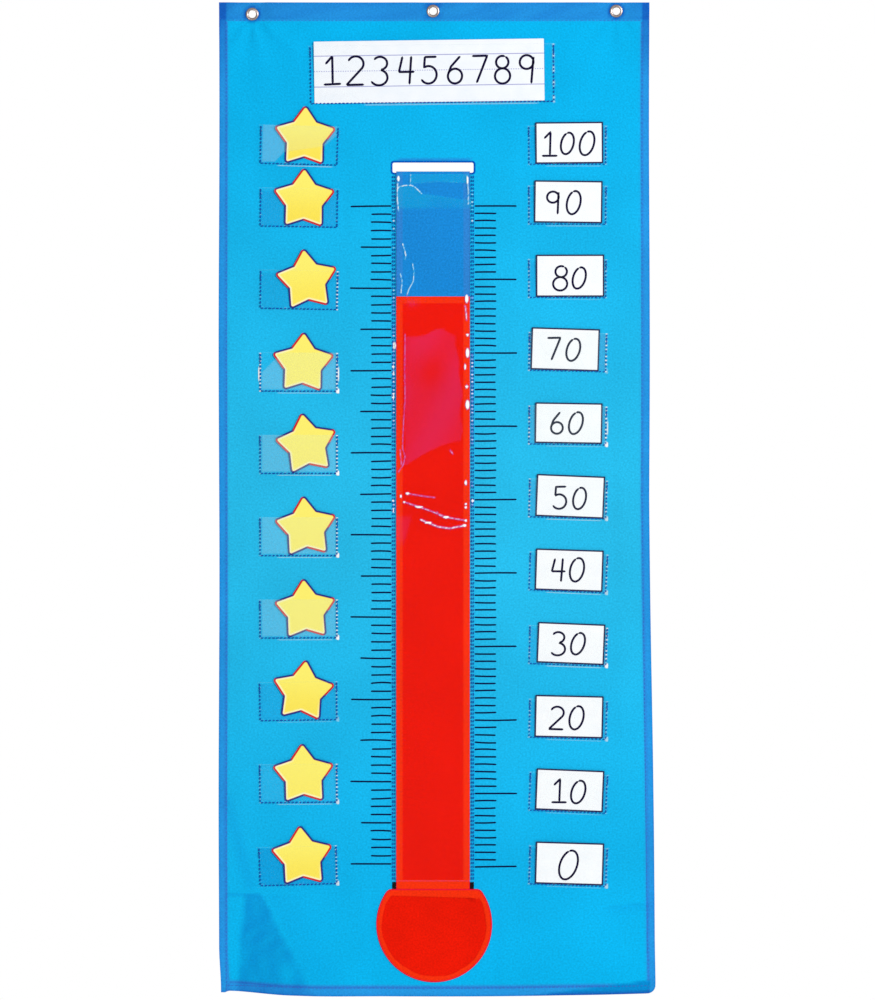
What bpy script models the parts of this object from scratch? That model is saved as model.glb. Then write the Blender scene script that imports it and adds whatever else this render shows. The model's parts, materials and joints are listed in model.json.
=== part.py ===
"""Wall pocket chart with a sliding level tape, in metres.

+Z is up, +X is to the right as the chart is read, and the wall is behind it, at +Y. The origin is the
centre of the middle grommet, in the plane that the washers press against the wall.
Heights on the chart are given as drops below the panel's top edge, as a sewing pattern gives them.
"""

import math

import bmesh
import bpy
from mathutils import Vector

# Clearances and mesh fineness
GAP = 0.0003  # between two pieces that touch
OVERRUN = 0.004  # a cutter passes the wall by this much
WELD = 0.000002
ARC_STEPS = 6
TURN_STEPS = 24

# Backing panel: one layer of cloth, hemmed all round with folds to the back
PANEL_TOP_WIDTH = 0.538
PANEL_FOOT_WIDTH = 0.546
PANEL_HEIGHT = 1.2380
PANEL_LEFT_REACH = 0.2675  # middle grommet to the left edge
FLARE_FROM_SHARE = 0.5
CLOTH = 0.0006
HEM_LAYERS = 3
TOP_HEM = 0.0235
SIDE_HEM = 0.0105
FOOT_HEM = 0.0115
HEM_STEP = 0.0008
FIELD_COLUMNS = 14
FIELD_ROWS = 5
FOOT_ROWS = 9

# How the panel hangs: a soft fold at the lower left, a curl at the lower right, a foot that bows down
HANG_HEIGHT = 0.125
FOOT_SAG = 0.0045
FOLD_DEPTH = 0.009
FOLD_WIDTH = 0.100
FOLD_TOP_REACH = 0.035
FOLD_FOOT_REACH = 0.085
CURL_DEPTH = 0.010
CURL_LENGTH = 0.105
CURL_HEIGHT = 0.050
CORNER_REACH = 0.014
CORNER_DRAW = 0.0048

# Grommets, pressed through the top hem
GROMMET_MARGIN = 0.0415  # the panel's side to the centre of the grommet near it
GROMMET_DROP = 0.0108
LEFT_GROMMET_SAG = 0.0038  # the hand-set left one sits lower than the other two
GROMMET_BORE = 0.0096
GROMMET_FLANGE = 0.0162
GROMMET_DOME = 0.0012
GROMMET_WALL = 0.0004
GROMMET_LIP = 0.0009
WASHER_THICKNESS = 0.0012
WASHER_LEDGE = 0.0004
WASHER_DIAMETER = 0.0166

# Clear vinyl: every pocket is sewn down on three sides and bows out over its card
VINYL = 0.0004
STITCH_INSET = 0.0028
SHOULDER = 0.0020
FOOT_SHOULDER = 0.0008
CROWN = 0.0003
CARD = 0.0004
CARD_LEAN = math.radians(1.5)  # cards lean out of their pockets, clear of the pocket above

# Title pocket and its ruled card
TITLE_POCKET_WIDTH = 0.3095
TITLE_POCKET_HEIGHT = 0.0750
TITLE_POCKET_DROP = 0.0528
TITLE_SHIFT = -0.0008
TITLE_TILT_DEG = 0.6
TITLE_CARD_HEIGHT = 0.0762
TITLE_CARD_PLAY = 0.0060
TITLE_PLAY_SHARE = -0.6

# Small pockets, one column on each side of the tape
POCKET_WIDTH = 0.1016
POCKET_HEIGHT = 0.0508
COLUMN_MARGIN = 0.1010  # the panel's side to the middle of the column near it
TOP_POCKET_DROP = 0.1795
SCALE_DROP = 0.2544  # the highest long tick of both scales
NUMBER_SCALE_RISE = 0.0193  # the lowest long tick of each scale, above the foot slit
STAR_SCALE_RISE = 0.0231
STAR_POCKET_DROP = 0.0032  # star pockets sit this far below their ticks

# Number cards: 100 at the top down to 0
NUMBER_CARD_HEIGHT = 0.0508
NUMBER_CARD_PLAY = 0.0036
CARD_CORNER = 0.0010
NUMBERS = range(100, -1, -10)
NUMBER_POCKET_TILTS_DEG = (0, -0.2, -0.2, -1.1, -0.8, -1.7, -2.5, -2.0, -1.8, -2.5, -2.1)
NUMBER_CARD_TILTS_DEG = (-0.2, -1.8, -1.0, 0.7, -0.1, 0.7, 0, -0.3, -0.8, -0.5, -0.9)
NUMBER_PLAY_SHARES = (0.62, 0.33, 1, -1, 0.3, 0.81, 0.29, 1, 0.35, 0.48, 0.48)

# Star cards: a five-pointed star with blunt tips
STAR_COUNT = 10
STAR_PLAY = 0.0086
STAR_WAIST_SHARE = 0.66
STAR_TIP_RADIUS = 0.0042
STAR_POCKET_TILTS_DEG = (-1.5, -0.9, -1.1, -0.2, 0, 0, 0.2, 0.9, 0.5, 1.7)
STAR_CARD_TILTS_DEG = (-0.1, 0, 7.1, -1.5, 8.3, 4.6, 3.0, -6.9, 1.3, 2.0)
STAR_PLAY_SHARES = (0.83, 0.74, 1, 0.67, 1, 1, 0.97, 0.78, 0.73, 0.62)

# Tape: one endless band, half red and half blue, that runs down the front under a clear sleeve,
# through the foot slit, up the back and over the lip of the top slit
SLEEVE_WIDTH = 0.1028
SLEEVE_STITCH_INSET = 0.0020
SLEEVE_SHOULDER = 0.0026
SLEEVE_ROWS = 6
SLIT_DROP = 0.1998
SLIT_HEIGHT = 0.0133
FOOT_SLIT_HEIGHT = 0.0092
FOOT_SLIT_RISE = 0.1289  # the panel's foot to the lower lip of the foot slit
SLIT_PLAY = 0.0050
SLIT_CORNER = 0.0022
RIM_WIDTH = 0.0015
RIM_PROUD = 0.0003
TAPE_PLAY = 0.0008
TAPE_CLOTH = 0.0005
TAPE_HEM = 0.0070
TAPE_TURN_RADIUS = 0.0019
TAPE_TURN_CLEARANCE = 0.0006
SEAM_HEIGHT = 0.0075
SEAM_THICKNESS = 0.0013
LEVEL_DROP = 0.3681  # the top of the red half, on the front

# Bulb patch: a disc with a flat top, hemmed and sewn under the foot slit
BULB_RADIUS = 0.0724
BULB_RISE = 0.0413  # disc centre to the flat top
BULB_CORNER = 0.0090
BULB_CLOTH = 0.0005
BULB_HEM = 0.0080
BULB_SHIFT = 0.0015
BULB_ARC_STEPS = 34

# Depths, worked out from the layers: the washers touch the wall plane at zero
HEM_BACK = -(WASHER_THICKNESS + GAP)
PANEL_FRONT = HEM_BACK - HEM_LAYERS * CLOTH
SEWN_FACE = PANEL_FRONT - GAP
PANEL_TOP = GROMMET_DROP
PANEL_MIDDLE = PANEL_TOP_WIDTH / 2 - PANEL_LEFT_REACH
TAPE_MIDDLE = PANEL_FRONT + CLOTH / 2
TAPE_WIDTH = SLEEVE_WIDTH - 2 * (SLEEVE_STITCH_INSET + SLEEVE_SHOULDER + TAPE_PLAY)
SLIT_WIDTH = TAPE_WIDTH + 2 * SLIT_PLAY
SLEEVE_DROP = SLIT_DROP + SLIT_HEIGHT + RIM_WIDTH + GAP
FOOT_SLIT_DROP = PANEL_HEIGHT - FOOT_SLIT_RISE - FOOT_SLIT_HEIGHT
SLEEVE_LENGTH = FOOT_SLIT_DROP - SLEEVE_DROP - RIM_WIDTH - GAP
GROMMET_SPACING = PANEL_TOP_WIDTH / 2 - GROMMET_MARGIN
COLUMN_REACH = PANEL_TOP_WIDTH / 2 - COLUMN_MARGIN
NUMBER_STEP = (FOOT_SLIT_DROP - NUMBER_SCALE_RISE - SCALE_DROP) / (len(NUMBERS) - 2)
STAR_STEP = (FOOT_SLIT_DROP - STAR_SCALE_RISE - SCALE_DROP) / (STAR_COUNT - 2)
TOP_TURN = PANEL_TOP - SLIT_DROP - SLIT_HEIGHT
FOOT_TURN = PANEL_TOP - FOOT_SLIT_DROP - FOOT_SLIT_HEIGHT + TAPE_TURN_CLEARANCE + TAPE_TURN_RADIUS
CARD_SEAT = FOOT_SHOULDER + GAP
POCKET_CLEAR_HALF = POCKET_WIDTH / 2 - STITCH_INSET - SHOULDER - GAP

PANEL_BLUE = (0.001, 0.445, 0.830)
TAPE_BLUE = (0.017, 0.235, 0.624)
TAPE_RED = (0.863, 0.014, 0.001)
STAR_YELLOW = (0.913, 0.745, 0.042)
CARD_WHITE = (0.880, 0.900, 0.930)
NICKEL = (0.620, 0.610, 0.590)
CLEAR = (0.800, 0.900, 0.950)


def clear_scene():
    for obj in list(bpy.data.objects):
        bpy.data.objects.remove(obj, do_unlink=True)


def new_collection(name):
    collection = bpy.data.collections.new(name)
    bpy.context.scene.collection.children.link(collection)
    return collection


def finish(obj, color, roughness, metallic=0.0, alpha=1.0):
    """Give the piece its own material and smooth shading that keeps its hard edges."""
    mat = bpy.data.materials.new(obj.name)
    mat.use_nodes = True
    shader = mat.node_tree.nodes["Principled BSDF"]
    shader.inputs["Base Color"].default_value = (*color, 1)
    shader.inputs["Roughness"].default_value = roughness
    shader.inputs["Metallic"].default_value = metallic
    shader.inputs["Alpha"].default_value = alpha
    obj.data.materials.append(mat)
    obj.data.shade_smooth()
    obj.data.set_sharp_from_angle(angle=math.radians(35))
    return obj


def add_object(name, mesh, collection):
    obj = bpy.data.objects.new(name, mesh)
    collection.objects.link(obj)
    return obj


def helper(obj):
    """A cutter or an added lump that another piece takes its shape from."""
    obj.hide_render = True
    obj.display_type = "WIRE"
    return obj


def sheet(name, columns, rows, place, collection, wall_share=lambda column, row: 1):
    """An open grid with one line for each column and row station, laid where place() says.

    Columns run to the right and rows upward, so the faces point to the front. The group "wall"
    holds each point's share of the thickness that the sheet gets.
    """
    bm = bmesh.new()
    bmesh.ops.create_grid(bm, x_segments=len(columns) - 1, y_segments=len(rows) - 1, size=1)
    walls = bm.verts.layers.deform.verify()
    for vertex in bm.verts:
        column = columns[round((vertex.co.x + 1) / 2 * (len(columns) - 1))]
        row = rows[round((vertex.co.y + 1) / 2 * (len(rows) - 1))]
        vertex[walls][0] = wall_share(column, row)
        vertex.co = place(column, row)
    mesh = bpy.data.meshes.new(name)
    bm.to_mesh(mesh)
    bm.free()
    obj = add_object(name, mesh, collection)
    obj.vertex_groups.new(name="wall")
    return obj


def thicken(obj, thickness, offset):
    """Solidify: an offset of 1 adds the wall in front of the grid, and -1 behind it."""
    wall = obj.modifiers.new("wall", "SOLIDIFY")
    wall.thickness = thickness
    wall.offset = offset
    wall.use_even_offset = True
    wall.vertex_group = "wall"


def plate(name, outline, thickness, collection):
    """A flat outline in the local XY plane with its thickness centred on it, as a welded mesh."""
    curve = bpy.data.curves.new(name, "CURVE")
    curve.dimensions = "2D"
    curve.fill_mode = "BOTH"
    curve.extrude = thickness / 2
    spline = curve.splines.new("POLY")
    spline.points.add(len(outline) - 1)
    for point, (u, v) in zip(spline.points, outline):
        point.co = (u, v, 0, 1)
    spline.use_cyclic_u = True
    guide = add_object(name + "_outline", curve, collection)
    graph = bpy.context.evaluated_depsgraph_get()
    mesh = bpy.data.meshes.new_from_object(guide.evaluated_get(graph))
    bpy.data.objects.remove(guide)
    bpy.data.curves.remove(curve)
    bm = bmesh.new()
    bm.from_mesh(mesh)
    bmesh.ops.remove_doubles(bm, verts=bm.verts, dist=WELD)
    bmesh.ops.recalc_face_normals(bm, faces=bm.faces)
    bm.to_mesh(mesh)
    bm.free()
    mesh.name = name
    return add_object(name, mesh, collection)


def upright(obj, depth, x=0.0, z=0.0):
    """Stand a flat plate up, its face to the front and its middle layer at this depth."""
    obj.rotation_euler = (math.pi / 2, 0, 0)
    obj.location = (x, depth, z)
    return obj


def boolean(obj, operation, other):
    cut = obj.modifiers.new(other.name, "BOOLEAN")
    cut.operation = operation
    cut.solver = "EXACT"
    cut.object = other


def arc(centre, radius, start, end, steps):
    """Points on an arc, both ends included, angles in degrees."""
    angles = [math.radians(start + (end - start) * i / steps) for i in range(steps + 1)]
    return [(centre[0] + radius * math.cos(a), centre[1] + radius * math.sin(a)) for a in angles]


def rounded_rectangle(width, height, corner):
    points = []
    for quarter, (side, end) in enumerate(((1, 1), (-1, 1), (-1, -1), (1, -1))):
        centre = (side * (width / 2 - corner), end * (height / 2 - corner))
        points += arc(centre, corner, 90 * quarter, 90 * quarter + 90, ARC_STEPS)
    return points


def rolled(outline, degrees):
    """The outline turned in its own plane, anticlockwise."""
    c = math.cos(math.radians(degrees))
    s = math.sin(math.radians(degrees))
    return [(u * c - v * s, u * s + v * c) for u, v in outline]


def panel_width(drop):
    flare = max(0, drop / PANEL_HEIGHT - FLARE_FROM_SHARE) / (1 - FLARE_FROM_SHARE)
    return PANEL_TOP_WIDTH + (PANEL_FOOT_WIDTH - PANEL_TOP_WIDTH) * min(flare, 1)


def ease(share):
    """0 to 1 with level ends."""
    share = min(max(share, 0), 1)
    return share * share * (3 - 2 * share)


def hang_depth(x, drop):
    """How far the cloth stands forward of its flat plane: the lower left fold and the lower right curl."""
    width = panel_width(drop)
    from_left = x + PANEL_LEFT_REACH
    down = ease((drop - PANEL_HEIGHT + HANG_HEIGHT) / HANG_HEIGHT)
    ridge = FOLD_TOP_REACH + (FOLD_FOOT_REACH - FOLD_TOP_REACH) * down
    across = min(abs(from_left - ridge) / (FOLD_WIDTH / 2), 1)
    fold = FOLD_DEPTH * down * (1 + math.cos(math.pi * across)) / 2
    along = ease(1 - (width - from_left) / CURL_LENGTH)
    rise = ease(1 - (PANEL_HEIGHT - drop) / CURL_HEIGHT)
    return fold + CURL_DEPTH * along * rise


def corner_draw(x, drop):
    """How far the rounded lower right corner is drawn in, both ways."""
    beside = panel_width(drop) - x - PANEL_LEFT_REACH
    above = PANEL_HEIGHT - drop
    return CORNER_DRAW * ease(1 - beside / CORNER_REACH) * ease(1 - above / CORNER_REACH)


def hang(column, row):
    """A point of the panel's front face. A station is a share of the side and a real offset along it."""
    drop = row[0] * PANEL_HEIGHT + row[1]
    width = panel_width(drop)
    x = column[0] * width + column[1] - PANEL_LEFT_REACH
    from_middle = 2 * (x + PANEL_LEFT_REACH) / width - 1
    down = ease((drop - PANEL_HEIGHT + HANG_HEIGHT) / HANG_HEIGHT)
    sag = FOOT_SAG * down * (1 - from_middle * from_middle)
    draw = corner_draw(x, drop)
    return Vector((x - draw, PANEL_FRONT - hang_depth(x, drop), PANEL_TOP - drop - sag + draw))


def slit_plate(name, extra, height, drop, thickness, collection):
    corner = SLIT_CORNER + extra / 2
    outline = rounded_rectangle(SLIT_WIDTH + extra, height + extra, corner)
    obj = plate(name, outline, thickness, collection)
    upright(obj, PANEL_FRONT + CLOTH / 2, 0, PANEL_TOP - drop - height / 2)
    return helper(obj)


def grommet_places():
    """Each grommet's name, with its centre across and up."""
    return (
        ("left", PANEL_MIDDLE - GROMMET_SPACING, -LEFT_GROMMET_SAG),
        ("middle", 0, 0),
        ("right", PANEL_MIDDLE + GROMMET_SPACING, 0),
    )


def make_panel(parts, cutters):
    """The hemmed cloth: hems are folded to the back, and two bound slits let the tape through."""
    side = [(0, 0), (0, SIDE_HEM), (0, SIDE_HEM + HEM_STEP)]
    columns = side + [(i / FIELD_COLUMNS, 0) for i in range(1, FIELD_COLUMNS)]
    columns += [(1, -offset) for _, offset in reversed(side)]
    hang_share = 1 - HANG_HEIGHT / PANEL_HEIGHT
    rows = [(0, 0), (0, TOP_HEM), (0, TOP_HEM + HEM_STEP)]
    rows += [(hang_share * i / FIELD_ROWS, 0) for i in range(1, FIELD_ROWS + 1)]
    foot = (1 - hang_share) * PANEL_HEIGHT - FOOT_HEM - HEM_STEP
    rows += [(hang_share, foot * i / FOOT_ROWS) for i in range(1, FOOT_ROWS)]
    rows += [(1, -FOOT_HEM - HEM_STEP), (1, -FOOT_HEM), (1, 0)]
    single_columns = columns[2:-2]
    single_rows = rows[2:-2]

    def layers(column, row):
        return 1 / HEM_LAYERS if column in single_columns and row in single_rows else 1

    panel = sheet("backing_panel", columns, rows[::-1], hang, parts, layers)
    thicken(panel, HEM_LAYERS * CLOTH, -1)
    bound = CLOTH + 2 * RIM_PROUD
    slits = (("top_slit", SLIT_HEIGHT, SLIT_DROP), ("foot_slit", FOOT_SLIT_HEIGHT, FOOT_SLIT_DROP))
    for name, height, drop in slits:
        boolean(panel, "UNION", slit_plate(name + "_rim", 2 * RIM_WIDTH, height, drop, bound, cutters))
    for name, height, drop in slits:
        boolean(panel, "DIFFERENCE", slit_plate(name, 0, height, drop, 2 * OVERRUN, cutters))
    hole = GROMMET_BORE / 2 + GROMMET_WALL + GAP
    for place, x, z in grommet_places():
        outline = arc((0, 0), hole, 0, 360, TURN_STEPS)[:-1]
        cutter = plate("grommet_hole_" + place, outline, 2 * OVERRUN, cutters)
        boolean(panel, "DIFFERENCE", helper(upright(cutter, PANEL_FRONT, x, z)))
    finish(panel, PANEL_BLUE, 0.75)


def turned(name, profile, x, z, parts):
    """A ring about an axis that points out of the chart, from a closed profile of radius and height.

    Height is counted forward from the hem's front face.
    """
    mesh = bpy.data.meshes.new(name)
    count = len(profile)
    edges = [(i, (i + 1) % count) for i in range(count)]
    mesh.from_pydata([(radius, 0, height) for radius, height in profile], edges, [])
    obj = upright(add_object(name, mesh, parts), PANEL_FRONT, x, z)
    turn = obj.modifiers.new("turn", "SCREW")
    turn.axis = "Z"
    turn.steps = TURN_STEPS
    turn.render_steps = TURN_STEPS
    turn.use_merge_vertices = True
    turn.merge_threshold = WELD
    return finish(obj, NICKEL, 0.25, 1.0)


def make_grommets(parts):
    """Two-part grommets: a domed eyelet whose barrel is rolled over the ledge of a back washer."""
    bore = GROMMET_BORE / 2
    flange = GROMMET_FLANGE / 2
    barrel = bore + GROMMET_WALL
    hem = HEM_LAYERS * CLOTH
    washer_front = -(hem + GAP)
    ledge = washer_front - WASHER_LEDGE
    lip = barrel + GROMMET_LIP
    middle = (bore + flange) / 2
    dome = [
        (middle + (flange - middle) * math.cos(a), GAP + GROMMET_DOME * math.sin(a))
        for a in (math.pi * i / 8 for i in range(9))
    ]
    lip_front = ledge - GAP
    lip_back = lip_front - GROMMET_WALL
    eyelet = dome + [(bore, lip_back), (lip, lip_back), (lip, lip_front)]
    eyelet += [(barrel, lip_front), (barrel, GAP)]
    back = washer_front - WASHER_THICKNESS
    outer = WASHER_DIAMETER / 2
    step = lip + GAP
    washer = [
        (outer, back),
        (outer, washer_front),
        (barrel + GAP, washer_front),
        (barrel + GAP, ledge),
        (step, ledge),
        (step, back),
    ]
    for place, x, z in grommet_places():
        turned("grommet_" + place, eyelet[::-1], x, z, parts)
        turned("washer_" + place, washer[::-1], x, z, parts)


def mirrored(stations):
    """Stations on both sides of zero from those on one side, zero included once."""
    return [-s for s in reversed(stations) if s] + sorted(set(stations))


def pocket_lift(x, z, half, card_room):
    """How far a pocket's inner face stands off its sewn edge."""
    clear = half - STITCH_INSET - SHOULDER
    if z < FOOT_SHOULDER or abs(x) > clear * 1.0001:
        return 0
    return card_room + math.tan(CARD_LEAN) * z + CROWN * (1 - (x / clear) ** 2)


def make_pocket(name, width, height, frame, parts):
    """Clear vinyl with its left, right and bottom edges down on the panel. Height is from edge to mouth."""
    half = width / 2
    stitch = half - STITCH_INSET
    columns = mirrored([0, (stitch - SHOULDER) / 2, stitch - SHOULDER, stitch, half])
    mouth = height - STITCH_INSET
    rows = [-STITCH_INSET, 0, FOOT_SHOULDER, mouth / 2, mouth]

    def place(x, z):
        return Vector((x, -GAP - pocket_lift(x, z, half, CARD + GAP), z))

    pocket = sheet(name, columns, rows, place, parts)
    thicken(pocket, VINYL, 1)
    pocket.parent = frame
    finish(pocket, CLEAR, 0.1, 0.0, 0.3)


def make_card(name, outline, clear_half, share, color, frame, parts):
    """A card stood in its pocket: its lowest point on the seat, and its side play used by this share."""
    lowest = min(v for _, v in outline)
    reach = max(u * (1 if share > 0 else -1) for u, _ in outline)
    shift = share * (clear_half - reach)
    seated = [(u + shift, v - lowest + CARD_SEAT) for u, v in outline]
    card = plate(name, seated, CARD, parts)
    card.rotation_euler = (math.pi / 2 + CARD_LEAN, 0, 0)
    card.location = (0, -GAP - CARD / 2, 0)
    card.parent = frame
    finish(card, color, 0.6)


def pocket_frame(name, x, centre_drop, height, tilt, parts):
    """An empty at the middle of a pocket's bottom stitch line, on the panel's front face."""
    frame = bpy.data.objects.new(name, None)
    parts.objects.link(frame)
    stitch_below = height / 2 - STITCH_INSET
    frame.location = (x, PANEL_FRONT, PANEL_TOP - centre_drop - stitch_below)
    frame.rotation_euler = (0, -math.radians(tilt), 0)
    return frame


def make_title(parts):
    centre = TITLE_POCKET_DROP + TITLE_POCKET_HEIGHT / 2
    frame = pocket_frame("title_frame", TITLE_SHIFT, centre, TITLE_POCKET_HEIGHT, TITLE_TILT_DEG, parts)
    make_pocket("title_pocket", TITLE_POCKET_WIDTH, TITLE_POCKET_HEIGHT, frame, parts)
    clear = TITLE_POCKET_WIDTH / 2 - STITCH_INSET - SHOULDER - GAP
    outline = rounded_rectangle(2 * (clear - TITLE_CARD_PLAY), TITLE_CARD_HEIGHT, CARD_CORNER)
    make_card("title_card", outline, clear, TITLE_PLAY_SHARE, CARD_WHITE, frame, parts)


def number_drop(index):
    return TOP_POCKET_DROP if index == 0 else SCALE_DROP + (index - 1) * NUMBER_STEP


def star_drop(index):
    return TOP_POCKET_DROP if index == 0 else SCALE_DROP + (index - 1) * STAR_STEP + STAR_POCKET_DROP


def make_numbers(parts):
    """The right column: a pocket and a card for each long tick, and one above the scale."""
    width = 2 * (POCKET_CLEAR_HALF - NUMBER_CARD_PLAY)
    for index, number in enumerate(NUMBERS):
        tilt = NUMBER_POCKET_TILTS_DEG[index]
        label = f"{number:03d}"
        frame = pocket_frame("frame_" + label, COLUMN_REACH, number_drop(index), POCKET_HEIGHT, tilt, parts)
        make_pocket("number_pocket_" + label, POCKET_WIDTH, POCKET_HEIGHT, frame, parts)
        square = rounded_rectangle(width, NUMBER_CARD_HEIGHT, CARD_CORNER)
        outline = rolled(square, NUMBER_CARD_TILTS_DEG[index])
        share = NUMBER_PLAY_SHARES[index]
        make_card("number_card_" + label, outline, POCKET_CLEAR_HALF, share, CARD_WHITE, frame, parts)


def star_outline():
    """Five tips rounded off by an arc that touches both of a tip's sides, with sharp waists between.

    A side runs from a waist and touches the tip's arc, whose centre lies on the tip's own heading.
    """
    tip = (POCKET_CLEAR_HALF - STAR_PLAY) / math.cos(math.radians(18))
    waist = tip * STAR_WAIST_SHARE
    centre = tip - STAR_TIP_RADIUS
    across = waist * math.sin(math.pi / 5)
    along = centre - waist * math.cos(math.pi / 5)
    side = math.atan2(across, along) - math.asin(STAR_TIP_RADIUS / math.hypot(across, along))
    opening = math.degrees(math.pi / 2 - side)
    points = []
    for i in range(5):
        heading = 90 + 72 * i
        at = (centre * math.cos(math.radians(heading)), centre * math.sin(math.radians(heading)))
        points += arc(at, STAR_TIP_RADIUS, heading - opening, heading + opening, 4)
        between = math.radians(heading + 36)
        points.append((waist * math.cos(between), waist * math.sin(between)))
    return points


def make_stars(parts):
    """The left column: a pocket and a star for each long tick, and one above the scale."""
    for index in range(STAR_COUNT):
        label = f"{index + 1:02d}"
        tilt = STAR_POCKET_TILTS_DEG[index]
        frame = pocket_frame("frame_s" + label, -COLUMN_REACH, star_drop(index), POCKET_HEIGHT, tilt, parts)
        make_pocket("star_pocket_" + label, POCKET_WIDTH, POCKET_HEIGHT, frame, parts)
        outline = rolled(star_outline(), STAR_CARD_TILTS_DEG[index])
        share = STAR_PLAY_SHARES[index]
        make_card("star_card_" + label, outline, POCKET_CLEAR_HALF, share, STAR_YELLOW, frame, parts)


def make_sleeve(parts):
    """The clear sleeve over the front of the tape, sewn down its two sides and open at both ends."""
    half = SLEEVE_WIDTH / 2
    stitch = half - SLEEVE_STITCH_INSET
    shoulder = stitch - SLEEVE_SHOULDER
    columns = mirrored([0, shoulder / 2, shoulder, stitch, half])
    top = PANEL_TOP - SLEEVE_DROP
    rows = [top - SLEEVE_LENGTH * (1 - i / SLEEVE_ROWS) for i in range(SLEEVE_ROWS + 1)]
    tape_face = TAPE_MIDDLE - TAPE_TURN_RADIUS + TAPE_CLOTH - SEAM_THICKNESS / 2
    room = SEWN_FACE - tape_face + GAP

    def place(x, z):
        lift = room + CROWN * (1 - (x / shoulder) ** 2) if abs(x) <= shoulder else 0
        return Vector((x, SEWN_FACE - lift, z))

    sleeve = sheet("tape_sleeve", columns, rows, place, parts)
    thicken(sleeve, VINYL, 1)
    finish(sleeve, CLEAR, 0.1, 0.0, 0.3)


def tape_run(name, path, color, parts):
    """A stretch of tape along a path of depth and height, hemmed on both sides to the loop's inside."""
    half = TAPE_WIDTH / 2
    columns = mirrored([half - TAPE_HEM - HEM_STEP, half - TAPE_HEM, half])

    inner = half - TAPE_HEM - HEM_STEP / 2

    def place(x, point):
        return Vector((x, point[0], point[1]))

    def layers(x, point):
        return 1 / 2 if abs(x) < inner else 1

    run = sheet(name, columns, path, place, parts, layers)
    thicken(run, 2 * TAPE_CLOTH, -1)
    finish(run, color, 0.7)


def seam(name, depth, middle, color, parts):
    """The join of the two halves of the tape: their hems lapped and sewn, across the whole width."""
    outline = rounded_rectangle(TAPE_WIDTH, SEAM_HEIGHT, TAPE_CLOTH)
    obj = upright(plate(name, outline, SEAM_THICKNESS, parts), depth, 0, middle)
    finish(obj, color, 0.7)


def make_tape(parts):
    """Two seams travel and four runs lie between them. The turns over the lips belong to the back runs."""
    front = TAPE_MIDDLE - TAPE_TURN_RADIUS
    back = TAPE_MIDDLE + TAPE_TURN_RADIUS
    level = PANEL_TOP - LEVEL_DROP
    front_seam = level - SEAM_HEIGHT / 2
    # The seams are half a loop apart, so one is as far above the foot turn as the other is below the top
    back_seam = FOOT_TURN + TOP_TURN - front_seam
    clear = SEAM_HEIGHT / 2 + GAP
    over = arc((TAPE_MIDDLE, TOP_TURN), TAPE_TURN_RADIUS, 180, 0, 8)
    under = arc((TAPE_MIDDLE, FOOT_TURN), TAPE_TURN_RADIUS, 0, -180, 8)
    tape_run("tape_blue_front", [(front, front_seam + clear), (front, TOP_TURN - GAP)], TAPE_BLUE, parts)
    tape_run("tape_red_front", [(front, FOOT_TURN + GAP), (front, front_seam - clear)], TAPE_RED, parts)
    tape_run("tape_blue_back", over + [(back, back_seam + clear)], TAPE_BLUE, parts)
    tape_run("tape_red_back", [(back, back_seam - clear)] + under, TAPE_RED, parts)
    seam("level_seam", front + TAPE_CLOTH, front_seam, TAPE_RED, parts)
    seam("back_seam", back - TAPE_CLOTH, back_seam, TAPE_BLUE, parts)


def bulb_outline(inset):
    """The disc cut flat on top with rounded corners, drawn in by an inset, about the disc's centre."""
    radius = BULB_RADIUS - inset
    rise = BULB_RISE - inset
    corner = BULB_CORNER - inset / 2
    up = rise - corner
    out = math.sqrt((radius - corner) ** 2 - up**2)
    touch = math.degrees(math.atan2(up, out))
    points = arc((0, 0), radius, 180 - touch, 360 + touch, BULB_ARC_STEPS)
    points += arc((out, up), corner, touch, 90, ARC_STEPS)[1:]
    points += arc((-out, up), corner, 90, 180 - touch, ARC_STEPS)[:-1]
    return points


def make_bulb(parts, cutters):
    """Red cloth patch: its hem is folded under, so the rim stands one layer higher than the field."""
    centre = PANEL_TOP - FOOT_SLIT_DROP - FOOT_SLIT_HEIGHT - RIM_WIDTH - GAP - BULB_RISE
    rim = 2 * BULB_CLOTH
    bulb = plate("bulb_patch", bulb_outline(0), rim, parts)
    upright(bulb, SEWN_FACE - rim / 2, BULB_SHIFT, centre)
    field = plate("bulb_field", bulb_outline(BULB_HEM), 2 * BULB_CLOTH, cutters)
    boolean(bulb, "DIFFERENCE", helper(upright(field, SEWN_FACE - 2 * BULB_CLOTH, BULB_SHIFT, centre)))
    finish(bulb, TAPE_RED, 0.7)


def main():
    clear_scene()
    parts = new_collection("pocket_chart")
    cutters = new_collection("cutters")
    make_panel(parts, cutters)
    make_grommets(parts)
    make_title(parts)
    make_stars(parts)
    make_numbers(parts)
    make_sleeve(parts)
    make_tape(parts)
    make_bulb(parts, cutters)


main()
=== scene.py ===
# %% [markdown]
# # A cloth pocket chart, dressed for its portrait
#
# The chart is a hemmed sheet of blue nylon. Clear vinyl pockets are sewn to it, cards stand in the
# pockets, and a red and blue tape runs in a clear sleeve down the middle. The solids that carry and
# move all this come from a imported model, the frame. This notebook gives each of them its real surface.
# We load the frame first, because every piece made later takes its place from it.

# %% Load the frame
import json
import math

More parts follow.
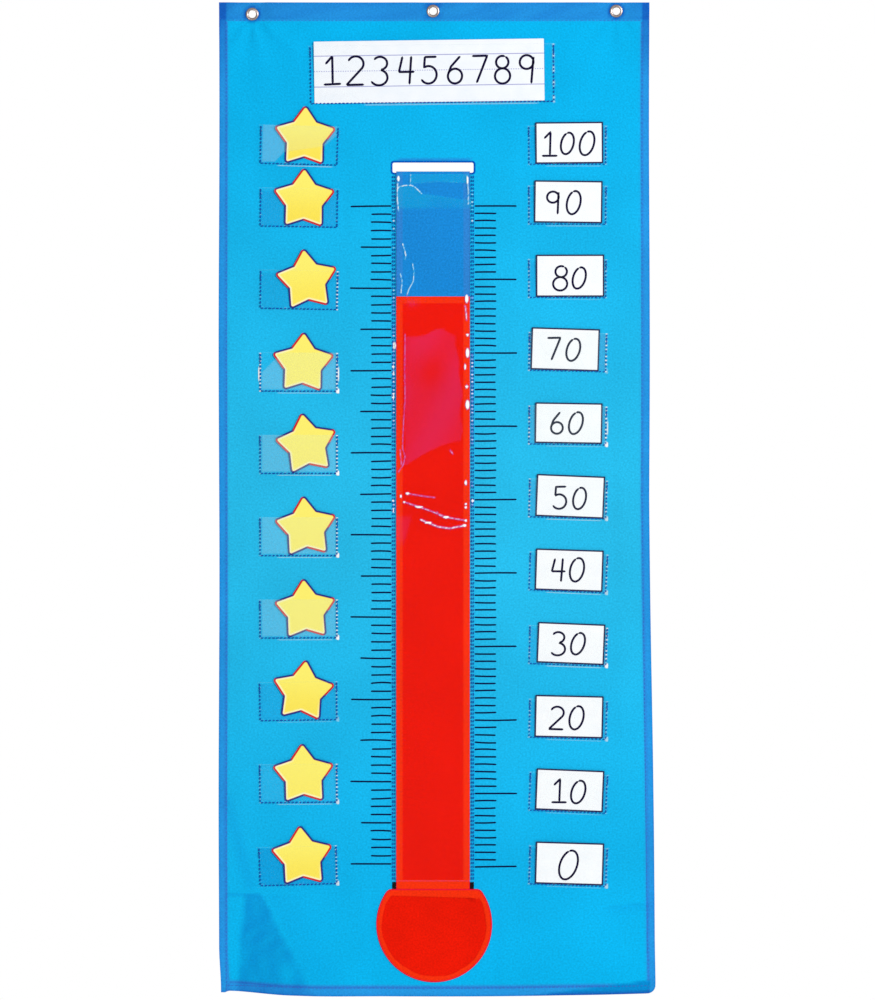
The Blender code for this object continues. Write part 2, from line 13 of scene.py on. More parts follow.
import bpy
import numpy as np
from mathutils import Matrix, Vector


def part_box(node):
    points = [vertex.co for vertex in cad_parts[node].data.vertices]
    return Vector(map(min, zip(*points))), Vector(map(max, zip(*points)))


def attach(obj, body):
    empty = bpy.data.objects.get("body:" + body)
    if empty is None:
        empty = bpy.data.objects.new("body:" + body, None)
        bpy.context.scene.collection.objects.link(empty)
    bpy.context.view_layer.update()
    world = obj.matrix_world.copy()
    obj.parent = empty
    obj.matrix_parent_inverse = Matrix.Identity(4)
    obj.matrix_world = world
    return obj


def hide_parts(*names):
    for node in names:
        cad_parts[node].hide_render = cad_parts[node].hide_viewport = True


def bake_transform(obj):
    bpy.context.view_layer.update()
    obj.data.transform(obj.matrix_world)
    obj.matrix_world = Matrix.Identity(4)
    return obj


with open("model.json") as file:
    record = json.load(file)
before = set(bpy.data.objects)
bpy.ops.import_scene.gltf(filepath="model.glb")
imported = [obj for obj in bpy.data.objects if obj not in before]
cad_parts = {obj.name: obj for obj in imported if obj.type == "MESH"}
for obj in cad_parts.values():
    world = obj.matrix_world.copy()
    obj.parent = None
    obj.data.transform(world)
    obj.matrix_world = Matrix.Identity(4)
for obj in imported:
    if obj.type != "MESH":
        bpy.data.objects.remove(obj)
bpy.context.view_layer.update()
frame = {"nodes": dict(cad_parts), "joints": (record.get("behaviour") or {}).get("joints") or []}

rng = np.random.default_rng(11)

# %% [markdown]
# ## Reading sizes off the frame
#
# A sewn pocket sits a little askew, and its card leans forward in it. Instead of typing those angles
# again we read them: a card's slide axis says how far its pocket is tilted, and the corners of a solid
# say how large it is. One helper returns a solid's corners as an array, and every size follows from it.

# %% Corners and tilts
MM = 0.001


def corners(node):
    """The corners of a CAD node's mesh, one row of x, y, z for each."""
    mesh = frame["nodes"][node].data
    points = np.empty(len(mesh.vertices) * 3)
    mesh.vertices.foreach_get("co", points)
    return points.reshape(-1, 3)


joint_axes = {joint["name"]: np.array(joint["axis"]) for joint in frame["joints"]}
panel_points = corners("backing_panel")
panel_left, panel_top = panel_points[:, 0].min(), panel_points[:, 2].max()
top_corners = panel_points[panel_points[:, 2] > panel_top - MM]
panel_top_width = np.ptp(top_corners[:, 0])
panel_front = top_corners[:, 1].min()
panel_foot_width = panel_points[:, 0].max() - panel_left
panel_height = 1238 * MM
print("panel", panel_top_width, panel_foot_width, "front at", panel_front)

# %% [markdown]
# ## Camera, floor and light
#
# A catalogue photograph of a flat thing is taken from far away with a long lens, so that nothing
# converges. The frame is 1000 pixels high and one pixel is 1.25 mm of the chart, so the lens follows
# from the distance by similar triangles. The world is white where the camera
# sees it, and dimmer where it only lights the cloth. One lamp high on the right rakes across the folds,
# and a weaker and larger one on the left keeps their shade soft.

# %% Camera
FRAME_HEIGHT = 1.25
CAMERA_DISTANCE = 5.0
SENSOR = 36.0
CAMERA_ASIDE = 5.6 * MM
CAMERA_DROP = 621.9 * MM  # from the panel's top edge down to the middle of the picture

camera_data = bpy.data.cameras.new("camera")
camera_data.sensor_width = SENSOR
camera_data.lens = SENSOR * CAMERA_DISTANCE / FRAME_HEIGHT
camera = bpy.data.objects.new("camera", camera_data)
bpy.context.scene.collection.objects.link(camera)
camera.location = (CAMERA_ASIDE, panel_front - CAMERA_DISTANCE, panel_top - CAMERA_DROP)
camera.rotation_euler = (math.pi / 2, 0, 0)
bpy.context.scene.camera = camera
bpy.context.scene.view_settings.view_transform = "Standard"
print("lens", round(camera_data.lens, 1), "mm")

# %% Functions for colours and nodes


def linear(code):
    """An sRGB hex colour as linear red, green, blue and an alpha of 1."""
    s = np.array([int(code[i : i + 2], 16) for i in (1, 3, 5)]) / 255
    rgb = np.where(s <= 0.04045, s / 12.92, ((s + 0.055) / 1.055) ** 2.4)
    return (*rgb.tolist(), 1.0)


def add(tree, kind, inputs=(), **settings):
    """Add a node with its settings. inputs pairs an input with a value or with the socket that feeds it."""
    node = tree.nodes.new(kind)
    for key, value in settings.items():
        setattr(node, key, value)
    for key, value in dict(inputs).items():
        if isinstance(value, bpy.types.NodeSocket):
            tree.links.new(value, node.inputs[key])
        else:
            node.inputs[key].default_value = value
    return node


def new_material(name):
    """A material with only its output node, and that node."""
    material = bpy.data.materials.new(name)
    material.use_nodes = True
    material.node_tree.nodes.clear()
    return material, material.node_tree, material.node_tree.nodes.new("ShaderNodeOutputMaterial")


def mark_socket(tree, name):
    """The values that a mesh carries under this name, as a socket."""
    return add(tree, "ShaderNodeAttribute", attribute_name=name).outputs["Fac"]


def mixed(tree, factor, a, b):
    """One colour laid over another by a factor, as a socket."""
    return add(tree, "ShaderNodeMix", {"Factor": factor, 6: a, 7: b}, data_type="RGBA").outputs[2]


# %% World, lamps and floor
WORLD_FILL = 0.44
LAMPS = {  # each lamp's place from the chart's middle, its size in metres and its power in watts
    "key": ((2.4, -3.0, 1.3), 1.6, 112),
    "fill": ((-2.2, -3.8, -0.9), 2.6, 37),
    "back": ((-0.8, 3.2, 0.9), 2.6, 60),
}
FLOOR_DROP = 120 * MM
FLOOR_HALF = (1.4, 0.5)

world = bpy.data.worlds.new("studio")
world.use_nodes = True
bpy.context.scene.world = world
tree = world.node_tree
tree.nodes.clear()
seen = add(tree, "ShaderNodeLightPath").outputs["Is Camera Ray"]
level = add(tree, "ShaderNodeMapRange", {"Value": seen, "To Min": WORLD_FILL, "To Max": 1.0})
sky = add(tree, "ShaderNodeBackground", {"Color": linear("#FFFFFF"), "Strength": level.outputs[0]})
add(tree, "ShaderNodeOutputWorld", {"Surface": sky.outputs[0]})

chart_middle = np.array([0.0, 0.0, panel_top - panel_height / 2])
for lamp_name, (offset, size, power) in LAMPS.items():
    lamp_data = bpy.data.lights.new(lamp_name, "AREA")
    lamp_data.size = size
    lamp_data.energy = power
    lamp = bpy.data.objects.new(lamp_name, lamp_data)
    bpy.context.scene.collection.objects.link(lamp)
    lamp.location = chart_middle + offset
    towards = -np.array(offset)
    heading = math.atan2(towards[0], -towards[1])
    rise = math.atan2(-towards[2], math.hypot(towards[0], towards[1]))
    lamp.rotation_euler = (math.pi / 2 - rise, 0, heading + math.pi)

floor_mesh = bpy.data.meshes.new("floor")
floor_z = panel_points[:, 2].min() - FLOOR_DROP
floor_corners = [(side * FLOOR_HALF[0], depth * FLOOR_HALF[1], floor_z)
                 for side, depth in ((-1, -1), (1, -1), (1, 1), (-1, 1))]
floor_mesh.from_pydata(floor_corners, [], [(0, 1, 2, 3)])
floor = bpy.data.objects.new("floor", floor_mesh)
bpy.context.scene.collection.objects.link(floor)
material, tree, output = new_material("pale_floor_paint")
paint = add(tree, "ShaderNodeBsdfPrincipled", {"Base Color": linear("#EDEDEA"), "Roughness": 0.9})
tree.links.new(paint.outputs[0], output.inputs["Surface"])
floor_mesh.materials.append(material)
print("floor at", round(float(floor_z), 3))

# %% [markdown]
# ## Three ways to make a surface
#
# Nearly everything here is thin and flat, so three functions make nearly all of it. A shell is a grid of
# points with a front and a back, joined by a wall round its rim and round any hole. A cut-out is an
# outline drawn in towards its centre in rings, front and back. A turned piece is a profile carried round
# an axis. All three work on whole arrays, which is both quick and easy to read.

# %% Shells, cut-outs and turned pieces


def make_object(name, vertices, faces, material, uv=None, marks=()):
    """Put arrays into a mesh: only the used corners are kept, and the shading is smooth with hard edges.

    uv has a row for each corner, and marks names further values for each corner.
    """
    used, faces_of_used = np.unique(np.concatenate([f.ravel() for f in faces]), return_inverse=True)
    sizes = np.concatenate([np.full(len(f), f.shape[1]) for f in faces])
    mesh = bpy.data.meshes.new(name)
    mesh.vertices.add(len(used))
    mesh.vertices.foreach_set("co", vertices[used].ravel())
    mesh.loops.add(len(faces_of_used))
    mesh.loops.foreach_set("vertex_index", faces_of_used)
    mesh.polygons.add(len(sizes))
    mesh.polygons.foreach_set("loop_start", np.concatenate([[0], np.cumsum(sizes)[:-1]]))
    mesh.update(calc_edges=True)
    if uv is not None:
        layer = mesh.uv_layers.new(name="flat")
        layer.data.foreach_set("uv", uv[used][faces_of_used].ravel())
    for key, values in dict(marks).items():
        mark = mesh.attributes.new(key, "FLOAT", "POINT")
        mark.data.foreach_set("value", np.ascontiguousarray(values[used], np.float32))
    mesh.materials.append(material)
    mesh.shade_smooth()
    mesh.set_sharp_from_angle(angle=math.radians(40))
    obj = bpy.data.objects.new(name, mesh)
    bpy.context.scene.collection.objects.link(obj)
    return obj


def shell(name, front, back, material, uv=None, marks=(), keep=None):
    """A closed sheet between two grids of points, rows upwards and columns to the right.

    keep says which cells are there. Each edge that only one kept cell has gets a wall to the back. A mark
    is one grid of values for both faces, or two grids, the front's and the back's.
    """
    rows, columns = front.shape[:2]
    count = rows * columns
    index = np.arange(count).reshape(rows, columns)
    cells = np.stack([index[:-1, :-1], index[:-1, 1:], index[1:, 1:], index[1:, :-1]], axis=-1)
    quads = cells.reshape(-1, 4) if keep is None else cells[keep]
    edges = np.stack([quads, np.roll(quads, -1, axis=1)], axis=-1).reshape(-1, 2)
    lone = ~np.isin(edges[:, 0] * count + edges[:, 1], edges[:, 1] * count + edges[:, 0])
    a, b = edges[lone].T
    walls = np.column_stack([b, a, a + count, b + count])
    points = np.concatenate([front.reshape(-1, 3), back.reshape(-1, 3)])
    flat = None if uv is None else np.tile(uv.reshape(-1, 2), (2, 1))
    both = {key: np.ravel(np.broadcast_to(values, (2, rows, columns))) for key, values in dict(marks).items()}
    return make_object(name, points, [quads, quads[:, ::-1] + count, walls], material, flat, both)


def edge_distance(points, outline):
    """How far each point lies from an outline: the least distance to any of its straight pieces."""
    a = outline
    d = np.roll(outline, -1, axis=0) - a
    gap = points[:, None] - a[None]
    t = np.clip((gap * d).sum(-1) / (d * d).sum(-1), 0, 1)
    return np.sqrt(((gap - t[..., None] * d) ** 2).sum(-1)).min(1)


def cut_out(name, outline, rings, place, thickness, material, extra_marks=None):
    """A flat piece with this outline: rings are its outline drawn in by shares of its size, and a centre.

    place turns flat points and a height above the front face into points in space. Each corner gets its
    distance to the outline in mm, as the mark "edge", and its flat place in metres as UV.
    """
    count = len(outline)
    flat = np.concatenate([outline[None] * s for s in rings]).reshape(-1, 2)
    flat = np.concatenate([flat, [[0.0, 0.0]]])
    around = np.arange(count)
    onward = np.roll(around, -1)
    quads = []
    for ring in range(len(rings) - 1):
        outer, inner = ring * count, (ring + 1) * count
        quads.append(np.column_stack([outer + around, outer + onward, inner + onward, inner + around]))
    quads = np.concatenate(quads)
    last = (len(rings) - 1) * count
    fan = np.column_stack([last + around, last + onward, np.full(count, len(flat) - 1)])
    total = len(flat)
    walls = np.column_stack([onward, around, around + total, onward + total])
    edge = edge_distance(flat, outline) / MM
    marks = {"edge": np.tile(edge, 2)}
    if extra_marks:
        marks.update({key: np.tile(values(flat), 2) for key, values in extra_marks.items()})
    points = np.concatenate([place(flat, 0.0, edge), place(flat, -thickness, edge)])
    faces = [quads, fan, quads[:, ::-1] + total, fan[:, ::-1] + total, walls]
    return make_object(name, points, faces, material, np.tile(flat, (2, 1)), marks)


def turned(name, profile, centre, material, steps=64):
    """A ring: each profile point (radius, distance in front of the wall) carried round an axis along Y."""
    angle = np.linspace(0, 2 * np.pi, steps, endpoint=False)
    radius, forward = np.array(profile).T
    x = centre[0] + radius[:, None] * np.cos(angle)
    z = centre[2] + radius[:, None] * np.sin(angle)
    y = centre[1] - forward[:, None] + np.zeros_like(x)
    index = np.arange(len(profile) * steps).reshape(len(profile), steps)
    nxt = np.roll(index, -1, axis=0)
    quads = np.stack([index, nxt, np.roll(nxt, -1, axis=1), np.roll(index, -1, axis=1)], -1).reshape(-1, 4)
    return make_object(name, np.stack([x, y, z], axis=-1).reshape(-1, 3), [quads], material)


def ease(t):
    """0 to 1 with level ends: 3 t squared less 2 t cubed, with t held between 0 and 1."""
    t = np.clip(t, 0, 1)
    return t * t * (3 - 2 * t)


def trace(x, y, points, width):
    """1 on a given polyline and falling off to both sides as a bell curve."""
    away = np.full(np.shape(x), np.inf)
    for (x0, y0), (x1, y1) in zip(points[:-1], points[1:]):
        dx, dy = x1 - x0, y1 - y0
        t = np.clip(((x - x0) * dx + (y - y0) * dy) / (dx * dx + dy * dy), 0, 1)
        away = np.minimum(away, np.hypot(x - x0 - t * dx, y - y0 - t * dy))
    return np.exp(-(away / width) ** 2)


def blob(x, y, middle, half_width, half_height):
    """A spot with a fairly sharp rim."""
    away = np.hypot((x - middle[0]) / half_width, (y - middle[1]) / half_height)
    return ease((1.25 - away) / 0.5)


# %% [markdown]
# ## Strokes and stitches
#
# A marker line is a ribbon: a path with a width that dies away at both ends, as ink from a round nib does.
# A stitch is a short thread that rises out of one needle hole and dives into the next. A seam has
# hundreds of them, so each has only eighteen faces, and all stitches of a seam are placed by one formula.

# %% Strokes and stitches


def resample(path, step):
    """Points evenly spaced along a path, about a step apart, with both ends kept."""
    lengths = np.concatenate([[0], np.cumsum(np.linalg.norm(np.diff(path, axis=0), axis=1))])
    at = np.linspace(0, lengths[-1], max(int(round(lengths[-1] / step)), 1) + 1)
    return np.column_stack([np.interp(at, lengths, path[:, k]) for k in range(path.shape[1])])


def ribbons(name, paths, width, thickness, place, material):
    """Flat strokes along paths: each is as wide as the nib, and rounded where it starts and ends.

    A cross-section has four corners. place turns flat points and a height above the face into space.
    """
    nib = width / 2
    points, quads, caps, start = [], [], [], 0
    for path in paths:
        path = resample(np.asarray(path, float), width * 0.6)
        along = np.gradient(path, axis=0)
        along /= np.linalg.norm(along, axis=1)[:, None] + 1e-12
        side = np.column_stack([-along[:, 1], along[:, 0]])
        run = np.concatenate([[0], np.cumsum(np.linalg.norm(np.diff(path, axis=0), axis=1))])
        inward = np.minimum(run, run[-1] - run)
        half = nib * np.sqrt(np.clip(1 - (1 - np.minimum(inward / nib, 1)) ** 2, 0.08, 1))
        left, right = path + side * half[:, None], path - side * half[:, None]
        strip = np.stack([place(left, 0.0), place(right, 0.0),
                          place(right, thickness), place(left, thickness)], axis=1)
        count = len(path)
        index = start + np.arange(count * 4).reshape(count, 4)
        ahead = np.roll(index, -1, axis=1)
        quads.append(np.stack([index[:-1], ahead[:-1], ahead[1:], index[1:]], axis=-1).reshape(-1, 4))
        caps.append(np.stack([index[0, ::-1], index[-1]]))
        points.append(strip.reshape(-1, 3))
        start += count * 4
    return make_object(name, np.concatenate(points), [np.concatenate(quads), np.concatenate(caps)], material)


STITCH_RINGS = np.array([-0.5, -0.3, 0.3, 0.5])
STITCH_RISE = np.array([-0.4, 0.6, 0.6, -0.4])
STITCH_SWELL = np.array([0.55, 1.0, 1.0, 0.55])


def stitches(name, seams, pitch, length, width, material):
    """Threads along seams. A seam is a path in space on the face that it is sewn through.

    Each thread is four rings of six corners: the rings lie along the seam, rise in front of the face in
    the middle of the thread and dip under it at the ends.
    """
    middles, headings = [], []
    for seam in seams:
        points = resample(np.asarray(seam, float), pitch)
        middles.append((points[1:] + points[:-1]) / 2)
        headings.append(points[1:] - points[:-1])
    middle, heading = np.concatenate(middles), np.concatenate(headings)
    heading /= np.linalg.norm(heading, axis=1)[:, None]
    out = np.tile([0.0, -1.0, 0.0], (len(middle), 1))
    side = np.cross(heading, out)
    side /= np.linalg.norm(side, axis=1)[:, None]
    angle = np.arange(6) * np.pi / 3
    reach = length * (1 + 0.12 * rng.standard_normal(len(middle)))
    lean = 0.10 * rng.standard_normal(len(middle))
    ring = middle[:, None, None] + (reach[:, None] * STITCH_RINGS)[..., None, None] * (
        heading + side * lean[:, None])[:, None, None]
    across = width / 2 * STITCH_SWELL[:, None] * np.cos(angle)
    rise = width / 2 * (STITCH_SWELL[:, None] * np.sin(angle) + STITCH_RISE[:, None])
    points = ring + across[None, ..., None] * side[:, None, None] + rise[None, ..., None] * out[:, None, None]
    count = len(middle)
    index = np.arange(count * 24).reshape(count, 4, 6)
    near, far = index[:, :-1], index[:, 1:]
    quads = np.stack([near, far, np.roll(far, -1, axis=2), np.roll(near, -1, axis=2)], axis=-1).reshape(-1, 4)
    caps = np.concatenate([index[:, 0], index[:, -1, ::-1]])
    return make_object(name, points.reshape(-1, 3), [quads, caps], material)


# %% [markdown]
# ## Nylon cloth
#
# The panel, the tape and the bulb are nylon pack cloth: a plain weave of fine filament yarn, dyed right
# through. It is matt from the front and a little silky from the side, so it is rough with a trace of
# sheen. The yarns are half a millimetre apart, finer than a pixel, so the weave is drawn three times as
# coarse. Where a hem folds the cloth over, less light comes through, so hems have a colour of their own.

# %% Nylon cloth
WEAVE = 1.5 * MM
WAVE_PERIOD = math.pi / 10  # a wave texture at scale 1 repeats after this length
PALE_BLUE = "#24B5E2"  # the blue cloth where the light falls straight on it, at half height
SHADE_TINT = (0.35, 0.35, 0.66)  # painted shade: blue falls off less than red and green where the cloth is shaded


def nylon(name, field, hem, line, grain=0.14):
    """Plain-woven nylon. Marks mix in other tones: "hem" for doubled cloth, "line" for a folded edge.

    "shade" is painted shade: it draws the cloth towards a deeper blue in folds, creases and other shaded
    places. "pale" is painted light: it lightens the cloth where the light falls straight on it.
    """
    material, tree, output = new_material(name)
    flat = add(tree, "ShaderNodeUVMap", uv_map="flat").outputs[0]
    scale = WAVE_PERIOD / WEAVE
    warp = add(tree, "ShaderNodeTexWave", {"Vector": flat, "Scale": scale, "Distortion": 0.6, "Detail": 1.0},
               bands_direction="X")
    weft = add(tree, "ShaderNodeTexWave", {"Vector": flat, "Scale": scale, "Distortion": 0.6, "Detail": 1.0},
               bands_direction="Y")
    weave = add(tree, "ShaderNodeMath", {0: warp.outputs["Fac"], 1: weft.outputs["Fac"]},
                operation="MULTIPLY")
    slub = add(tree, "ShaderNodeTexNoise", {"Vector": flat, "Scale": 420.0, "Detail": 2.0})
    drift = add(tree, "ShaderNodeTexNoise", {"Vector": flat, "Scale": 9.0, "Detail": 2.0, "Roughness": 0.45})
    tone = mixed(tree, mark_socket(tree, "pale"), linear(field), linear(PALE_BLUE))
    tone = mixed(tree, mark_socket(tree, "hem"), tone, linear(hem))
    tone = mixed(tree, mark_socket(tree, "line"), tone, linear(line))
    shade = add(tree, "ShaderNodeMapRange", {"Value": slub.outputs["Fac"], "From Min": 0.25, "From Max": 0.75,
                                             "To Min": 1 - grain, "To Max": 1 + grain})
    wide = add(tree, "ShaderNodeMapRange", {"Value": drift.outputs["Fac"], "From Min": 0.3, "From Max": 0.7,
                                            "To Min": 0.95, "To Max": 1.05})
    # Painted shade: where the mark "shade" is high, the tone turns a deeper, darker blue.
    pressed = add(tree, "ShaderNodeVectorMath", {0: tone, 1: SHADE_TINT}, operation="MULTIPLY")
    tone = mixed(tree, mark_socket(tree, "shade"), tone, pressed.outputs[0])
    both = add(tree, "ShaderNodeMath", {0: shade.outputs[0], 1: wide.outputs[0]}, operation="MULTIPLY")
    color = add(tree, "ShaderNodeVectorMath", {0: tone, "Scale": both.outputs[0]}, operation="SCALE")
    bump = add(tree, "ShaderNodeBump", {"Height": weave.outputs[0], "Strength": 0.25, "Distance": 0.15 * MM})
    cloth = add(tree, "ShaderNodeBsdfPrincipled", {
        "Base Color": color.outputs[0], "Roughness": 0.8, "Specular IOR Level": 0.05,
        "Sheen Weight": 0.015, "Sheen Roughness": 0.5, "Normal": bump.outputs[0]})
    tree.links.new(cloth.outputs[0], output.inputs["Surface"])
    return material


blue_nylon = nylon("blue_pack_cloth", "#00ACE4", "#2294DC", "#3068C4")
red_nylon = nylon("red_pack_cloth", "#E61500", "#F03008", "#E0003C")
royal_nylon = nylon("royal_blue_pack_cloth", "#1684D0", "#2C80CC", "#3568B8", 0.18)
binding_nylon = nylon("dark_blue_binding", "#0058B8", "#0058B8", "#0058B8")
print("cloths", blue_nylon.name, red_nylon.name, royal_nylon.name)

# %% [markdown]
# ## Thread, ink and plated brass
#
# Sewing thread is twisted polyester with a soft shine. The scale marks and the numbers are drawn with a
# felt marker, whose ink dries matt and nearly black. The grommets are brass, nickel plated: a smooth
# metal, slightly warm, with a fine haze from handling.

# %% Thread, ink and metal


def plain(name, color, other, scale, roughness, gloss=0.2, metallic=0.0):
    """A surface whose colour wanders a little between two tones, in patches of 1/scale metres.

    gloss is how strongly a surface that is no metal mirrors straight on: 0.5 is the usual 4 percent.
    """
    material, tree, output = new_material(name)
    place = add(tree, "ShaderNodeTexCoord").outputs["Object"]
    noise = add(tree, "ShaderNodeTexNoise", {"Vector": place, "Scale": scale, "Detail": 3.0})
    tone = mixed(tree, noise.outputs["Fac"], linear(color), linear(other))
    bump = add(tree, "ShaderNodeBump",
               {"Height": noise.outputs["Fac"], "Strength": 0.1, "Distance": 0.05 * MM})
    skin = add(tree, "ShaderNodeBsdfPrincipled", {
        "Base Color": tone, "Roughness": roughness, "Specular IOR Level": gloss,
        "Metallic": metallic, "Normal": bump.outputs[0]})
    tree.links.new(skin.outputs[0], output.inputs["Surface"])
    return material


navy_thread = plain("navy_polyester_thread", "#003C9C", "#0450B0", 90.0, 0.5)
blue_thread = plain("mid_blue_polyester_thread", "#004CAA", "#085CBC", 90.0, 0.5)
violet_thread = plain("violet_blue_polyester_thread", "#3E5CBC", "#3472CC", 90.0, 0.5)
red_thread = plain("red_polyester_thread", "#C80818", "#F02818", 90.0, 0.5)
black_thread = plain("black_polyester_thread", "#020204", "#0A0A10", 300.0, 0.6)
scale_ink = plain("navy_screen_ink", "#020828", "#081450", 60.0, 0.7, gloss=0.05)
marker_ink = plain("dark_marker_ink", "#0A0428", "#160A3A", 80.0, 0.7, gloss=0.05)
nickel = plain("nickel_plated_brass", "#D0C2BC", "#A08C86", 260.0, 0.32, gloss=0.5, metallic=1.0)

# %% [markdown]
# ## The backing panel
#
# Here is the cloth itself. It hangs from three grommets, so its upper part is flat, and its foot is free:
# a soft ridge runs down to the lower left, where the chart was once folded for its box, and the lower
# right corner curls under. All of that is one formula for how far the cloth stands off the wall. The
# cloth is flat where something is sewn to it. A grid is laid over the sheet, with lines just where the
# hems, the slits and the grommet holes need them, and cells inside the openings are left out.

# %% Openings and sewn places
SLITS = {"top": (51 * MM, 199.8 * MM, 213.1 * MM), "foot": (51 * MM, 1099.9 * MM, 1109.1 * MM)}
GROMMETS = {place: np.mean(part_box("washer_" + place), axis=0) for place in ("left", "middle", "right")}
SEWN_MARGIN = 16 * MM

sewn_boxes = [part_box(node) for node in frame["nodes"] if "pocket" in node or "grommet" in node]
sewn_boxes += [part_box("tape_sleeve"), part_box("bulb_patch")]
for half, upper, lower in SLITS.values():
    sewn_boxes.append(([-half, 0, panel_top - lower], [half, 0, panel_top - upper]))


def free_share(x, z):
    """1 where nothing is sewn to the cloth, falling to 0 as a sewn piece or a grommet comes near."""
    share = np.ones(np.broadcast(x, z).shape)
    for low, high in sewn_boxes:
        away = np.hypot(np.maximum(np.maximum(low[0] - x, x - high[0]), 0),
                        np.maximum(np.maximum(low[2] - z, z - high[2]), 0))
        share = share * ease((away - 2 * MM) / SEWN_MARGIN)
    return share


# %% How the cloth hangs
FOLD_START = 1114 * MM  # drops are counted down from the panel's top edge
VALLEY = (32 * MM, 22 * MM)  # from the left edge, where the fold starts and at the foot
RIDGE = (52 * MM, 118 * MM)
FOLD_DEPTH = 9 * MM
FOLD_FADE = 95 * MM
EDGE_LIFT = 3 * MM
CURL_DEPTH = 8.5 * MM
CURL_LENGTH = 130 * MM
CURL_RISE = 15 * MM
CURL_FADE = 55 * MM
CREASES = ((291 * MM, 0.35 * MM), (597 * MM, 0.5 * MM), (622 * MM, 0.3 * MM))
CREASE_WIDTH = 8 * MM
WAVE_HEIGHT = 0.6 * MM
PLEATS = {"left": 1.3 * MM, "middle": 0.5 * MM, "right": 0.6 * MM}
PLEAT_REACH = 48 * MM
PLEAT_SHADE = 90  # painted shade: how dark a pleat looks for each metre of its height
PALE_DROP = 640 * MM  # where the light falls straightest on the cloth, and how far that reaches
PALE_REACH = 330 * MM


def panel_width(drop):
    """The cloth's width at a drop: constant down to half way, then growing evenly to the foot."""
    flare = np.clip(drop / panel_height - 0.5, 0, None) / 0.5
    return panel_top_width + (panel_foot_width - panel_top_width) * np.minimum(flare, 1)


def fold_lines(drop):
    """How far down the lower left fold a drop is, and its valley and ridge, counted from the left edge."""
    down = np.clip((drop - FOLD_START) / (panel_height - FOLD_START), 0, 1)
    return down, VALLEY[0] + (VALLEY[1] - VALLEY[0]) * down, RIDGE[0] + (RIDGE[1] - RIDGE[0]) * down


def relief(x, z):
    """How far the cloth stands forward of its flat plane: the fold, the curl, creases, pleats and waves.

    The fold rises in a straight slope from its valley to its ridge and falls away softly to the right.
    The curl grows towards the lower right corner. Pleats radiate from the grommets as a cosine of the
    angle round them. The waves are two slow sines.
    """
    drop = panel_top - z
    from_left = x - panel_left
    down, valley, ridge = fold_lines(drop)
    rise = np.clip((from_left - valley) / (ridge - valley), 0, 1)
    fall = ease(1 - (from_left - ridge) / FOLD_FADE)
    depth = FOLD_DEPTH * (0.25 * ease((drop - FOLD_START) / (8 * MM)) + 0.75 * down)
    lift = EDGE_LIFT * down * np.clip((valley - from_left) / valley, 0, 1)
    along = ease(1 - (panel_width(drop) - from_left) / CURL_LENGTH)
    above = panel_height - drop - CURL_RISE * along
    curl = CURL_DEPTH * along * np.where(above > 0, ease(1 - above / CURL_FADE), 1 + 0.7 * above / CURL_RISE)
    loose = WAVE_HEIGHT * (np.sin(x * 23 + z * 11) * np.sin(z * 19 - x * 7) + 1)
    for crease, height in CREASES:
        loose = loose + height * np.exp(-((drop - crease - 4 * MM * np.sin(x * 9)) / CREASE_WIDTH) ** 2)
    for place, height in PLEATS.items():
        run, fall_off = x - GROMMETS[place][0], z - GROMMETS[place][2]
        away = np.hypot(run, fall_off)
        loose = loose + height * (1 + np.cos(9 * np.arctan2(fall_off, run))) * np.exp(-away / PLEAT_REACH)
    share = free_share(x, z)
    return depth * rise * fall * share ** 0.5 + lift + np.clip(curl, 0, None) + loose * share


# %% The panel's grid
FINE_CELL = 3.0 * MM
COARSE_CELL = 9.0 * MM
CLOTH = 0.6 * MM
HEM_EXTRA = 1.2 * MM
SIDE_HEM = 10.5 * MM
TOP_HEM = 23.5 * MM
FOOT_HEM = 11.5 * MM
HOLE_HALF = 5.55 * MM


def stations(length, fixed, fine):
    """Grid lines from 0 to a length that pass through each fixed place, close together in the fine spans."""
    marks = np.unique(np.round(np.concatenate([[0.0, length], fixed, *fine]), 6))
    pieces = []
    for a, b in zip(marks[:-1], marks[1:]):
        cell = FINE_CELL if any(low < (a + b) / 2 < high for low, high in fine) else COARSE_CELL
        pieces.append(np.linspace(a, b, max(int(round((b - a) / cell)), 1), endpoint=False))
    return np.concatenate([*pieces, [length]])


step = 0.7 * MM
across_fixed = [SIDE_HEM, SIDE_HEM + step, panel_top_width - SIDE_HEM - step, panel_top_width - SIDE_HEM]
across_fixed += [sign * SLITS["top"][0] - panel_left for sign in (-1, 1)]
across_fixed += [g[0] + sign * HOLE_HALF - panel_left for g in GROMMETS.values() for sign in (-1, 1)]
down_fixed = [TOP_HEM, TOP_HEM + step, panel_height - FOOT_HEM - step, panel_height - FOOT_HEM]
down_fixed += [edge for _, upper, lower in SLITS.values() for edge in (upper, lower)]
down_fixed += [panel_top - g[2] + sign * HOLE_HALF for g in GROMMETS.values() for sign in (-1, 1)]
middle_u = panel_top_width / 2
